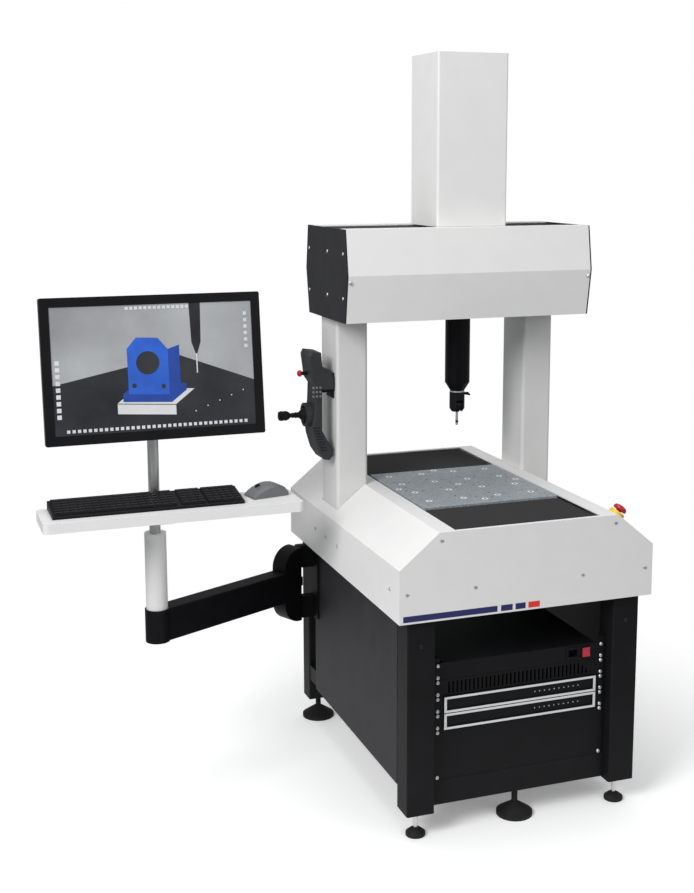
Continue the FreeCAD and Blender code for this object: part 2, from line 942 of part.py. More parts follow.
def make_base_covers():
    """Painted sheet covers: folded side covers, and flat front and rear covers with a rim."""
    sheet_wall = size.cover_sheet
    reach = size.cover_half_width
    top = size.cover_top
    ends = [cover_face, cover_face + size.cover_length]
    for side, sign in SIDES.items():
        corners = [
            (reach * sign, size.cover_bottom),
            (reach * sign, size.cover_shoulder),
            (size.cover_top_reach * sign, top),
            (size.opening_half_width * sign, top),
            (size.opening_half_width * sign, top - sheet_wall),
            ((size.cover_top_reach - sheet_wall / 3) * sign, top - sheet_wall),
            ((reach - sheet_wall) * sign, size.cover_shoulder - sheet_wall / 2),
            ((reach - sheet_wall) * sign, size.cover_bottom),
        ]
        cover = prism(
            side + "_cover_sheet", "XZ", corners, ends[0] + sheet_wall, ends[1] - sheet_wall
        )
        gap = size.column_gap
        notch = block(
            side + "_cover_notch",
            (
                (size.column_inner - gap) * sign,
                cover_face + size.column_front - gap,
                size.granite_top,
            ),
            (
                (size.column_outer + gap) * sign,
                cover_face + size.column_front + size.column_depth + gap,
                top + 1,
            ),
        )
        node(side + "_cover", cut(side + "_cover_notched", cover, notch))

    corners = [
        (-reach, size.cover_bottom),
        (reach, size.cover_bottom),
        (reach, size.cover_shoulder),
        (size.cover_top_reach, top),
        (-size.cover_top_reach, top),
        (-reach, size.cover_shoulder),
    ]
    rims = (
        ("front_cover", ends[0], ends[0] + sheet_wall, ends[0] + size.rim_depth),
        ("rear_cover", ends[1] - sheet_wall, ends[1], ends[1] - size.rim_depth),
    )
    for name, low, high, rim_end in rims:
        plate = prism(name + "_plate", "XZ", corners, low, high)
        rim = block(
            name + "_rim",
            (-size.opening_half_width, low, top - sheet_wall),
            (size.opening_half_width, rim_end, top),
        )
        node(name, join(name + "_folded", plate, rim))


def make_granite_base():
    """The granite base block, the two table rails on it and the two rails on the beam."""
    reach = size.cover_half_width - size.cover_sheet - size.seat_play
    start = cover_face + size.cover_sheet + size.seat_play
    corners = [
        (-reach, start),
        (reach, start),
        (reach, start + size.granite_length),
        (-reach, start + size.granite_length),
    ]
    base = prism("granite_block", "XY", corners, size.stand_top, size.granite_top)
    node("granite_base", base)

    half = size.guide_rail_width / 2
    rails = []
    for side, sign in SIDES.items():
        middle = size.table_rail_reach * sign
        rails.append(
            block(
                side + "_table_rail",
                (middle - half, cover_face + size.table_rail_start, size.granite_top),
                (
                    middle + half,
                    start + size.granite_length - 3,
                    size.granite_top + size.guide_rail_height,
                ),
            )
        )
    beam_front = cover_face + size.granite_beam_front
    for name, height in (("low", size.beam_rail_low), ("high", size.beam_rail_high)):
        rails.append(
            block(
                name + "_beam_rail",
                (
                    -(size.granite_beam_reach - 5),
                    beam_front - size.guide_rail_height,
                    height - half,
                ),
                (size.granite_beam_reach - 5, beam_front, height + half),
            )
        )
    node("guide_rails", group("guide_rails_group", *rails))


def slider_channel(half, depth):
    """Outline of a rail slider's channel: half its width and its depth, with running play."""
    return half + size.slider_play, depth + size.slider_play


def make_table():
    """Granite table plate with threaded inserts, on a carriage that straddles the rails."""
    front = cover_face + size.carriage_front
    rear = front + size.carriage_length
    plate_low = size.carriage_top - size.carriage_plate
    plate = block(
        "carriage_plate_block",
        (-size.carriage_half_width, front, plate_low),
        (size.carriage_half_width, rear, size.carriage_top),
    )
    half, depth = slider_channel(size.guide_rail_width / 2, size.guide_rail_height)
    solids = [plate]
    slider_bottom = size.granite_top + 3
    for sign in SIDES.values():
        middle = size.table_rail_reach * sign
        for low in (front, rear - size.slider_length):
            solids.append(
                block(
                    "table_slider",
                    (middle - half - size.slider_wall, low, slider_bottom),
                    (middle + half + size.slider_wall, low + size.slider_length, plate_low + 1),
                )
            )
    nut_front = (front + rear) / 2 - 30
    solids.append(
        block(
            "screw_nut_block",
            (-22, nut_front, size.granite_top + 3),
            (22, nut_front + 60, plate_low + 1),
        )
    )
    channels = [
        block(
            "rail_channel",
            (size.table_rail_reach * sign - half, front - 1, slider_bottom - 1),
            (size.table_rail_reach * sign + half, rear + 1, size.granite_top + depth),
        )
        for sign in SIDES.values()
    ]
    bore = rod(
        "screw_nut_bore",
        (0, nut_front - 1, size.screw_height),
        size.screw_radius + size.nut_play,
        62,
        "Y",
    )
    body = join("table_carriage_body", *solids)
    node("table_carriage", cut("table_carriage_bored", body, bore, *channels))

    front = cover_face + size.table_front
    corners = [
        (-size.table_half_width, front),
        (size.table_half_width, front),
        (size.table_half_width, front + size.table_length),
        (-size.table_half_width, front + size.table_length),
    ]
    slab = prism("table_slab", "XY", corners, size.carriage_top, size.table_top)

    def top_edge(edge):
        return abs(edge.BoundBox.ZMin - float(size.table_top)) < 0.01

    chamfer_edges(slab, size.table_chamfer, top_edge)
    middle_x = size.insert_shift
    middle_y = front + size.table_length / 2 + size.insert_shift_back
    steps = [size.insert_pitch * (number - 1.5) for number in range(4)]
    spots = [(across, along) for across in steps for along in steps]
    edge = size.edge_insert_reach
    spots += [(0, 0), (-edge, 0), (edge, 0), (0, -edge), (0, edge)]
    sockets = []
    inserts = []
    low = size.table_top - size.insert_depth
    depth = size.insert_depth
    for number, (across, along) in enumerate(spots):
        at = (middle_x + across, middle_y + along, low)
        under = (at[0], at[1], low - 1)
        sockets.append(octagon("insert_socket", at, size.insert_radius, 60))
        sleeve = octagon("insert_sleeve", at, size.insert_radius, depth)
        tool = rod if number in (0, 3, 12, 15) else octagon
        thread = tool("insert_thread", under, size.insert_thread_radius, depth + 2)
        inserts.append(cut("insert_ring", sleeve, thread))
    node("table_plate", cut("table_plate_drilled", slab, *sockets))
    node("table_inserts", group("table_inserts_group", *inserts))


def make_table_drive():
    """Ball screw with its two bearing blocks, and the motor behind the granite base."""
    start = cover_face + size.table_rail_start
    granite_end = cover_face + size.cover_sheet + size.seat_play + size.granite_length
    plate_end = granite_end + size.motor_plate
    screw = rod(
        "screw_shaft",
        (0, start, size.screw_height),
        size.screw_radius,
        plate_end - start - size.seat_play,
        "Y",
    )
    node("table_screw", screw)

    blocks = []
    for low in (start, granite_end - size.bearing_block_length):
        solid = block(
            "screw_bearing",
            (-size.bearing_block_reach, low, size.granite_top),
            (size.bearing_block_reach, low + size.bearing_block_length, size.bearing_block_top),
        )
        bore = rod(
            "screw_bearing_bore",
            (0, low - 1, size.screw_height),
            size.screw_radius + size.bearing_play,
            size.bearing_block_length + 2,
            "Y",
        )
        blocks.append(cut("bored_bearing", solid, bore))
    node("screw_bearings", group("screw_bearings_group", *blocks))

    half = size.motor_half_width
    flange = block(
        "motor_flange",
        (-half - 12, granite_end, size.granite_top - 60),
        (half + 12, plate_end, size.screw_height + half),
    )
    hole = rod(
        "motor_flange_bore",
        (0, granite_end - 1, size.screw_height),
        size.screw_radius + size.nut_play,
        size.motor_plate + 2,
        "Y",
    )
    corners = [
        (-half, size.screw_height - half),
        (half, size.screw_height - half),
        (half, size.screw_height + half),
        (-half, size.screw_height + half),
    ]
    motor = prism("motor_case", "XZ", corners, plate_end, plate_end + size.motor_length)
    chamfer_edges(motor, 4, parallel("Y"))
    mount = cut("motor_mount", flange, hole)
    node("table_motor", join("table_motor_whole", mount, motor))


def folded_cover(name, low, high, bottom, top, folds, half_width):
    """A folded way cover along Y: a flat skirt with a row of ridges across it."""
    skirt_top = top - size.fold_height
    corners = [(low, bottom), (high, bottom), (high, skirt_top), (low, skirt_top)]
    body = prism(name, "YZ", corners, -half_width, half_width)
    pitch = (high - low) / folds
    ridge = [
        (low, skirt_top - 1),
        (low + pitch, skirt_top - 1),
        (low + pitch, skirt_top),
        (low + pitch / 2, top),
        (low, skirt_top),
    ]
    pad = add_pad(body, name + "_ridge", "YZ", ridge, -half_width, half_width)
    repeat(body, pad, "H_Axis", pitch, folds)
    return body


def make_table_bellows():
    """Folded covers in front of the table and behind it."""
    bottom = size.bellows_top - size.bellows_drop
    table_front = cover_face + size.table_front
    spans = (
        (
            "front_bellows",
            cover_face + size.cover_sheet + size.seat_play,
            table_front - size.seat_play,
            size.front_folds,
        ),
        (
            "rear_bellows",
            table_front + size.table_length + size.seat_play,
            cover_face + size.cover_length - size.cover_sheet - size.seat_play,
            size.rear_folds,
        ),
    )
    covers = [
        folded_cover(name, low, high, bottom, size.bellows_top, folds, size.bellows_half_width)
        for name, low, high, folds in spans
    ]
    node("table_bellows", group("table_bellows_group", *covers))


def make_columns():
    """Two upright columns with rounded corners, standing on the granite base."""
    front = cover_face + size.column_front
    for side, sign in SIDES.items():
        corners = [
            (size.column_inner * sign, front),
            (size.column_outer * sign, front),
            (size.column_outer * sign, front + size.column_depth),
            (size.column_inner * sign, front + size.column_depth),
        ]
        column = prism(
            side + "_column_post", "XY", corners, size.granite_top, size.granite_beam_bottom
        )
        round_edges(column, size.column_round, parallel("Z"))
        node(side + "_column", column)


def make_beam():
    """Granite beam on the columns, its magnet track, and the faceted covers round it."""
    front = cover_face + size.granite_beam_front
    rear = cover_face + size.granite_beam_rear
    beam = block(
        "granite_beam",
        (-size.granite_beam_reach, front, size.granite_beam_bottom),
        (size.granite_beam_reach, rear, size.granite_beam_top),
    )
    node("crossbeam", beam)

    middle = (size.beam_rail_low + size.beam_rail_high) / 2
    track = block(
        "magnet_bar",
        (
            -(size.granite_beam_reach - 8),
            front - size.magnet_thickness,
            middle - size.magnet_half_height,
        ),
        (size.granite_beam_reach - 8, front, middle + size.magnet_half_height),
    )
    node("magnet_track", track)

    wall = size.cover_sheet
    bottom = size.beam_cover_bottom
    ridge = size.beam_cover_ridge
    top = size.beam_cover_top
    faces = (
        (
            "beam_front_cover",
            1,
            size.beam_front_top,
            size.beam_front_ridge,
            size.beam_front_bottom,
            size.slot_front,
            size.quill_slot_front,
        ),
        (
            "beam_rear_cover",
            -1,
            size.beam_rear_top,
            size.beam_rear_ridge,
            size.beam_rear_bottom,
            size.slot_rear,
            size.quill_slot_rear,
        ),
    )
    for name, inward, at_top, at_ridge, at_bottom, top_end, bottom_end in faces:
        step = wall * inward
        corners = [
            (cover_face + top_end, top),
            (cover_face + at_top, top),
            (cover_face + at_ridge, ridge),
            (cover_face + at_bottom, bottom),
            (cover_face + bottom_end, bottom),
            (cover_face + bottom_end, bottom + wall),
            (cover_face + at_bottom + step, bottom + wall),
            (cover_face + at_ridge + step, ridge),
            (cover_face + at_top + step, top - wall),
            (cover_face + top_end, top - wall),
        ]
        shell = prism(name + "_sheet", "YZ", corners, -size.beam_cover_reach, size.beam_cover_reach)
        if inward > 0:
            node(name, shell)
            continue
        gap = size.column_gap
        notches = [
            block(
                "%s_column_notch" % side,
                (
                    (size.column_inner - gap) * sign,
                    cover_face + size.column_front - gap,
                    bottom - 1,
                ),
                (
                    (size.column_outer + gap) * sign,
                    cover_face + size.column_front + size.column_depth + gap,
                    bottom + wall + 1,
                ),
            )
            for side, sign in SIDES.items()
        ]
        node(name, cut(name + "_notched", shell, *notches))

    corners = [
        (cover_face + size.beam_rear_top, top),
        (cover_face + size.beam_front_top, top),
        (cover_face + size.beam_front_ridge, ridge),
        (cover_face + size.beam_front_bottom, bottom),
        (cover_face + size.beam_rear_bottom, bottom),
        (cover_face + size.beam_rear_ridge, ridge),
    ]
    caps = []
    for side, sign in SIDES.items():
        ends = sorted(
            (size.beam_cover_reach * sign, (size.beam_cover_reach + size.beam_cap) * sign),
            key=float,
        )
        caps.append(prism(side + "_beam_cap", "YZ", corners, *ends))
    node("beam_end_caps", group("beam_end_caps_group", *caps))


def make_way_bellows():
    """Folded covers on top of the beam, one each side of the tower."""
    low_y = cover_face + size.slot_front + size.seat_play
    high_y = cover_face + size.slot_rear - size.seat_play
    skirt = size.way_bellows_bottom + (size.way_bellows_top - size.way_bellows_bottom) / 2
    spans = (
        ("left_way_bellows", -size.beam_cover_reach + size.seat_play, size.tower_left + 14),
        ("right_way_bellows", size.tower_right - 14, size.beam_cover_reach - size.seat_play),
    )
    covers = []
    for name, low, high in spans:
        corners = [
            (low, size.way_bellows_bottom),
            (high, size.way_bellows_bottom),
            (high, skirt),
            (low, skirt),
        ]
        body = prism(name, "XZ", corners, low_y, high_y)
        pitch = (high - low) / size.way_folds
        ridge = [
            (low, skirt - 1),
            (low + pitch, skirt - 1),
            (low + pitch, skirt),
            (low + pitch / 2, size.way_bellows_top),
            (low, skirt),
        ]
        pad = add_pad(body, name + "_ridge", "XZ", ridge, low_y, high_y)
        repeat(body, pad, "H_Axis", pitch, size.way_folds)
        covers.append(body)
    node("way_bellows", group("way_bellows_group", *covers))


def make_carriage():
    """Saddle that runs on the beam, with the quill's air bearing bored through it."""
    left = size.quill_reach - size.saddle_half_width
    right = size.quill_reach + size.saddle_half_width
    front = cover_face + size.saddle_front
    beam_front = cover_face + size.granite_beam_front
    rear = cover_face + size.spine_front
    top = size.beam_cover_top + size.tower_play
    solids = [
        block("saddle_block", (left, front, size.saddle_bottom), (right, rear, top)),
    ]
    half, depth = slider_channel(size.guide_rail_width / 2, size.guide_rail_height)
    channels = []
    for name, height in (("low", size.beam_rail_low), ("high", size.beam_rail_high)):
        solids.append(
            block(
                name + "_beam_slider",
                (left, rear - 1, height - half - size.slider_wall),
                (right, beam_front - 3, height + half + size.slider_wall),
            )
        )
        channels.append(
            block(
                name + "_beam_channel",
                (left - 1, beam_front - depth, height - half),
                (right + 1, beam_front, height + half),
            )
        )
    middle = (size.beam_rail_low + size.beam_rail_high) / 2
    solids.append(
        block(
            "motor_coil",
            (left + 20, rear - 1, middle - size.magnet_half_height),
            (right - 20, beam_front - size.magnet_thickness - 0.8, middle + size.magnet_half_height),
        )
    )
    bore = rod(
        "quill_bore",
        (size.quill_reach, cover_face + size.quill_setback, size.saddle_bottom - 1),
        size.quill_radius + size.quill_play,
        top - size.saddle_bottom + 2,
    )
    body = join("saddle_body", *solids)
    node("carriage_saddle", cut("saddle_bored", body, bore, *channels))


def make_tower():
    """Hollow tower cover, and the spine inside it that carries the quill's rail."""
    low = size.beam_cover_top + size.tower_play
    wall = size.tower_sheet

    def footprint(inset):
        return [
            (size.tower_left + inset, cover_face + size.tower_front + inset),
            (size.tower_right - inset, cover_face + size.tower_front + inset),
            (size.tower_right - inset, cover_face + size.tower_rear - inset),
            (size.tower_left + inset, cover_face + size.tower_rear - inset),
        ]

    shell = prism("tower_shell", "XY", footprint(0), low, size.tower_top)
    round_edges(shell, size.tower_round, parallel("Z"))
    hollow = prism("tower_hollow", "XY", footprint(wall), low - 1, size.tower_top - wall)
    round_edges(hollow, size.tower_round - wall, parallel("Z"))
    node("tower_cover", cut("tower_cover_open", shell, hollow))

    front = cover_face + size.spine_front
    rear = front + size.spine_depth
    left = size.quill_reach - size.spine_half_width
    right = size.quill_reach + size.spine_half_width
    web = 10
    corners = [
        (left, front),
        (left + web, front),
        (left + web, rear - web),
        (right - web, rear - web),
        (right - web, front),
        (right, front),
        (right, rear),
        (left, rear),
    ]
    channel = prism("spine_channel", "XY", corners, low, size.spine_top)
    foot = block(
        "spine_foot",
        (left - 18, front - 30, low),
        (right + 18, rear, low + 14),
    )
    ties = [
        block(
            "spine_tie",
            (size.tower_left + wall, front + 6, height),
            (size.tower_right - wall, front + 26, height + 12),
        )
        for height in (low + 120, size.spine_top - 40)
    ]
    bore = rod(
        "spine_foot_bore",
        (size.quill_reach, cover_face + size.quill_setback, low - 1),
        size.quill_radius + size.quill_play + 1,
        30,
    )
    body = join("spine_body", channel, foot, *ties)
    node("tower_spine", cut("tower_spine_bored", body, bore))


def make_quill():
    """Round black quill with its tapered nose, and the adaptor collar below it."""
    at = (size.quill_reach, cover_face + size.quill_setback, 0)
    outline = [
        (0, size.quill_nose),
        (size.quill_nose_radius, size.quill_nose),
        (size.quill_radius, size.quill_shoulder),
        (size.quill_radius, size.quill_top),
        (size.quill_radius - size.quill_wall, size.quill_top),
        (size.quill_radius - size.quill_wall, size.quill_shoulder),
        (0, size.quill_shoulder),
    ]
    node("quill", lathe("quill_tube", outline, at))
    collar_low = size.quill_nose - size.collar_height
    outline = [
        (0, collar_low),
        (size.head_radius - 1, collar_low),
        (size.head_radius - 1, size.quill_nose),
        (0, size.quill_nose),
    ]
    node("head_adaptor", lathe("adaptor_ring", outline, at))


def make_head():
    """Indexing head: a turning fork, its clamp lever, and the tilting knuckle with the probe."""
    centre_y = cover_face + size.quill_setback
    at = (size.quill_reach, centre_y, 0)
    top = size.quill_nose - size.collar_height - size.seat_play
    edge = size.head_round
    shell = lathe(
        "head_shell",
        [
            (0, size.head_bottom),
            (size.head_radius - edge, size.head_bottom),
            (size.head_radius, size.head_bottom + edge * 1.5),
            (size.head_radius, top),
            (0, top),
        ],
        at,
    )
    half = size.knuckle_half_width
    room_half = half + size.seat_play
    room = block(
        "knuckle_room",
        (size.quill_reach - room_half, centre_y - 40, size.head_bottom - 1),
        (
            size.quill_reach + room_half,
            centre_y + 40,
            size.pivot_height + size.knuckle_radius + 0.5,
        ),
    )
    lever_hole = rod(
        "lever_hole",
        (size.quill_reach + 8, centre_y, size.lever_height),
        size.lever_radius + size.seat_play,
        40,
        "X",
    )
    pin = rod(
        "knuckle_pin",
        (size.quill_reach - half - 6, centre_y, size.pivot_height),
        size.knuckle_pin,
        (half + 6) * 2,
        "X",
    )
    fork = cut("head_fork", shell, room, lever_hole)
    node("head_body", join("head_body_whole", fork, pin))

    lever_start = size.quill_reach + 9
    stem = rod(
        "lever_stem",
        (lever_start, centre_y, size.lever_height),
        size.lever_radius,
        size.lever_reach - 12,
        "X",
    )
    grip_start = size.quill_reach + size.head_radius + 1
    grip_end = size.quill_reach + size.lever_reach
    corners = [
        (grip_start, size.lever_height - 3.5),
        (grip_end, size.lever_height - 7),
        (grip_end + 2, size.lever_height - 5),
        (grip_end, size.lever_height - 1),
        (grip_start, size.lever_height + 3.5),
    ]
    grip = prism("lever_grip", "XZ", corners, centre_y - 3.5, centre_y + 3.5)
    node("head_lever", join("head_lever_whole", stem, grip))

    disc = rod(
        "knuckle_disc",
        (size.quill_reach - half, centre_y, size.pivot_height),
        size.knuckle_radius,
        half * 2,
        "X",
    )
    neck = rod(
        "knuckle_neck",
        (size.quill_reach, centre_y, size.head_bottom - 1.5),
        7,
        size.pivot_height - size.head_bottom,
    )
    bore = rod(
        "knuckle_bore",
        (size.quill_reach - 20, centre_y, size.pivot_height),
        size.knuckle_pin + size.hinge_play,
        40,
        "X",
    )
    knuckle = join("knuckle_joined", disc, neck)
    node("head_knuckle", cut("knuckle_bored", knuckle, bore))

    ball = size.ball_radius
    tip = size.tip_height
    band_low = tip + ball * 2.2
    band_high = band_low + size.band_height
    low = size.head_bottom - 1.5
    outline = [
        (0, tip),
        (ball * 0.6, tip),
        (ball, tip + ball * 0.5),
        (ball, band_low),
        (size.probe_band, band_low),
        (size.probe_band, band_high),
        (size.probe_radius, band_high),
        (size.probe_radius, low),
        (0, low),
    ]
    node("probe", lathe("probe_body", outline, at))


def make_emergency_stop():
    """Mushroom stop button on the right chamfer of the base cover."""
    slope_x = float(size.cover_half_width - size.cover_top_reach)
    slope_z = float(size.cover_top - size.cover_shoulder)
    turn = FreeCAD.Rotation(AXIS["Y"], math.degrees(math.atan2(slope_z, slope_x)))
    share = (size.stop_reach - size.cover_top_reach) / (
        size.cover_half_width - size.cover_top_reach
    )
    base = (
        size.stop_reach,
        cover_face + size.stop_setback,
        size.cover_top - (size.cover_top - size.cover_shoulder) * share,
    )
    collar = lathe(
        "stop_collar_ring",
        [
            (size.stop_stem_radius + size.seat_play, 0.02),
            (size.stop_collar_radius, 0.02),
            (size.stop_collar_radius, size.stop_collar_height),
            (size.stop_stem_radius + size.seat_play, size.stop_collar_height),
        ],
        base,
        turn,
    )
    node("stop_collar", collar)
    cap_low = size.stop_collar_height + size.stop_cap_gap
    cap_high = cap_low + size.stop_cap_height
    cap = lathe(
        "stop_mushroom",
        [
            (0, size.stop_cap_gap),
            (size.stop_stem_radius, size.stop_cap_gap),
            (size.stop_stem_radius, cap_low),
            (size.stop_cap_radius, cap_low),
            (size.stop_cap_radius, cap_high - 4),
            (size.stop_cap_radius - 4, cap_high - 4),
            (size.stop_cap_radius - 4, cap_high),
            (0, cap_high),
        ],
        base,
        turn,
    )
    node("stop_button", cap)


hub = (-size.hub_reach, cover_face + size.hub_setback)
post = (-size.post_reach, cover_face + size.post_setback)
arm_middle = size.arm_top - size.arm_height / 2
arm_length = Size(
    math.hypot(float(post[0] - hub[0]), float(post[1] - hub[1])),
    "hypot(%s; %s)" % ((post[0] - hub[0]).formula, (post[1] - hub[1]).formula),
)
arm_turn = FreeCAD.Rotation(
    AXIS["Z"], math.degrees(math.atan2(float(post[1] - hub[1]), float(post[0] - hub[0])))
)


def make_arm():
    """Swing arm: a hinge end with rounded shoulders, a box beam and a boss for the post."""
    low = -size.arm_height / 2
    high = size.arm_height / 2
    half = size.arm_half_width
    hub_half = size.hub_height / 2
    end = size.hub_end
    shoulder = prism(
        "arm_shoulder",
        "XZ",
        [
            (end, -hub_half),
            (end + size.hub_length, -hub_half),
            (end + size.hub_length, hub_half),
            (end, hub_half),
        ],
        -half,
        half,
    )

    def outer_corner(edge):
        at_end = abs(edge.BoundBox.XMin - float(end + size.hub_length)) < 0.01
        return at_end and parallel("Y")(edge)

    round_edges(shoulder, size.hub_round, outer_corner)
    beam = prism(
        "arm_beam",
        "YZ",
        [(-half, low), (half, low), (half, high), (-half, high)],
        end + 10,
        arm_length,
    )
    round_edges(beam, 4, parallel("X"))
    boss = rod("arm_boss", (arm_length, 0, low), size.boss_radius, size.arm_height)
    knuckle = rod(
        "arm_knuckle",
        (0, 0, -size.middle_knuckle),
        size.hinge_radius,
        size.middle_knuckle * 2,
    )
    lug = block(
        "arm_lug",
        (0, -size.hinge_radius, -size.middle_knuckle),
        (end + 2, size.hinge_radius, size.middle_knuckle),
    )
    body = join("arm_solid", shoulder, beam, boss, knuckle, lug)
    bore = rod(
        "post_socket",
        (arm_length, 0, low + 6),
        size.tube_radius + size.tube_play,
        size.arm_height,
    )
    pin_hole = rod(
        "pin_hole",
        (0, 0, -size.middle_knuckle - 1),
        size.hinge_pin_radius + size.hinge_play,
        size.middle_knuckle * 2 + 2,
    )
    arm = cut("arm_bored", body, bore, pin_hole)
    place(arm, (hub[0], hub[1], arm_middle), arm_turn)
    node("swing_arm", arm)


def make_arm_bracket():
    """Wall bracket on the stand: plate, two pairs of hinge knuckles and the hinge pin."""
    wall = -size.stand_half_width
    plate_low = arm_middle - size.hub_height / 2
    plate_high = arm_middle + size.hub_height / 2
    depth = size.bracket_half_depth
    corners = [
        (hub[1] - depth, plate_low),
        (hub[1] + depth, plate_low),
        (hub[1] + depth, plate_high),
        (hub[1] - depth, plate_high),
    ]
    plate = prism("bracket_plate_body", "YZ", corners, wall - size.bracket_plate, wall)
    round_edges(plate, 14, parallel("X"))
    pieces = [plate]
    reach = size.hub_height / 2
    for low, high in ((size.outer_knuckle, reach), (-reach, -size.outer_knuckle)):
        span = as_size(high) - low
        pieces.append(
            rod(
                "bracket_knuckle",
                (hub[0], hub[1], arm_middle + low),
                size.hinge_radius,
                span,
            )
        )
        pieces.append(
            block(
                "bracket_web",
                (hub[0], hub[1] - size.hinge_radius, arm_middle + low),
                (wall - 1, hub[1] + size.hinge_radius, arm_middle + high),
            )
        )
    pieces.append(
        rod(
            "hinge_pin",
            (hub[0], hub[1], arm_middle - reach + 2),
            size.hinge_pin_radius,
            size.hub_height - 4,
        )
    )
    node("arm_bracket", join("arm_bracket_whole", *pieces))


def make_posts():
    """Outer tube in the arm's boss, and the lift post that slides in it."""
    bottom = size.arm_top - size.arm_height + 6 + size.seat_play
    inner = size.tube_radius - size.tube_wall
    guide = size.post_radius + size.tube_play
    tube = lathe(
        "tube_body",
        [
            (0, bottom),
            (size.tube_radius, bottom),
            (size.tube_radius, size.tube_top),
            (guide, size.tube_top),
            (guide, size.tube_top - size.tube_bush),
            (inner, size.tube_top - size.tube_bush),
            (inner, bottom + 5),
            (0, bottom + 5),
        ],
        (post[0], post[1], 0),
    )
    node("post_tube", tube)
    lift = lathe(
        "lift_body",
        [
            (0, size.post_foot),
            (inner - size.tube_play, size.post_foot),
            (inner - size.tube_play, size.post_foot + size.piston_height),
            (size.post_radius, size.post_foot + size.piston_height),
            (size.post_radius, size.post_top),
            (0, size.post_top),
        ],
        (post[0], post[1], 0),
    )
    node("lift_post", lift)


def make_tray():
    """Keyboard tray: a board with rounded corners, carried by a clamp on the post."""
    left = post[0] - size.tray_left
    right = post[0] + size.tray_right
    front = post[1] - size.tray_front
    rear = post[1] - size.tray_rear
    bottom = size.tray_top - size.tray_thickness
    board = prism(
        "tray_board",
        "XY",
        [(left, front), (right, front), (right, rear), (left, rear)],
        bottom,
        size.tray_top,
    )
    round_edges(board, size.tray_round, parallel("Z"))
    clamp_top = bottom + 10
    clamp = rod(
        "tray_clamp",
        (post[0], post[1], clamp_top - size.clamp_height),
        size.clamp_radius,
        size.clamp_height,
    )
    beam = block(
        "tray_beam",
        (post[0] - 20, front + 34, bottom - 10),
        (post[0] + 20, post[1], bottom + 1),
    )
    clear = rod(
        "tray_post_bore",
        (post[0], post[1], bottom - 60),
        size.post_radius + size.clamp_play,
        120,
    )
    body = join("tray_joined", board, clamp, beam)
    node("tray", cut("tray_bored", body, clear))


def make_keyboard():
    """Keyboard case: a wedge, low at the front, with a raised field of keys."""
    left = post[0] - size.keyboard_left
    right = left + size.keyboard_width
    front = post[1] - size.keyboard_front
    rear = front + size.keyboard_depth
    base = size.tray_top
    corners = [
        (front, base),
        (rear, base),
        (rear, base + size.keyboard_rear_height - 6),
        (rear - 4, base + size.keyboard_rear_height - 4),
        (front + 4, base + size.keyboard_front_height - 4),
        (front, base + size.keyboard_front_height - 6),
    ]
    case = prism("keyboard_case", "YZ", corners, left, right)
    keys = [
        (front + 7, base + 3),
        (rear - 9, base + 3),
        (rear - 9, base + size.keyboard_rear_height),
        (front + 7, base + size.keyboard_front_height),
    ]
    fields = ((7, 316), (330, 391), (398, size.keyboard_width - 7))
    for number, (start, end) in enumerate(fields):
        name = "key_field_%d" % number
        add_pad(case, name, "YZ", keys, left + start, left + end)
    node("keyboard", case)


def make_mouse():
    """Mouse: a low domed shell on the right of the tray."""
    middle = (post[0] + size.mouse_offset, post[1] - size.mouse_front)
    base = size.tray_top
    length = size.mouse_length / 2
    width = size.mouse_width / 2
    rise = size.mouse_height
    profile = [
        (-length, 2),
        (-length + 6, 0),
        (length - 6, 0),
        (length, 3),
        (length - 3, rise * 0.55),
        (length - 22, rise * 0.9),
        (0, rise),
        (-length + 24, rise * 0.75),
        (-length + 4, rise * 0.4),
    ]
    shell = prism("mouse_shell", "XZ", profile, -width, width)
    chamfer_edges(shell, 7, lambda edge: edge.BoundBox.ZMin > float(rise) * 0.3)
    place(shell, (middle[0], middle[1], base), FreeCAD.Rotation(AXIS["Z"], 12))
    node("mouse", shell)


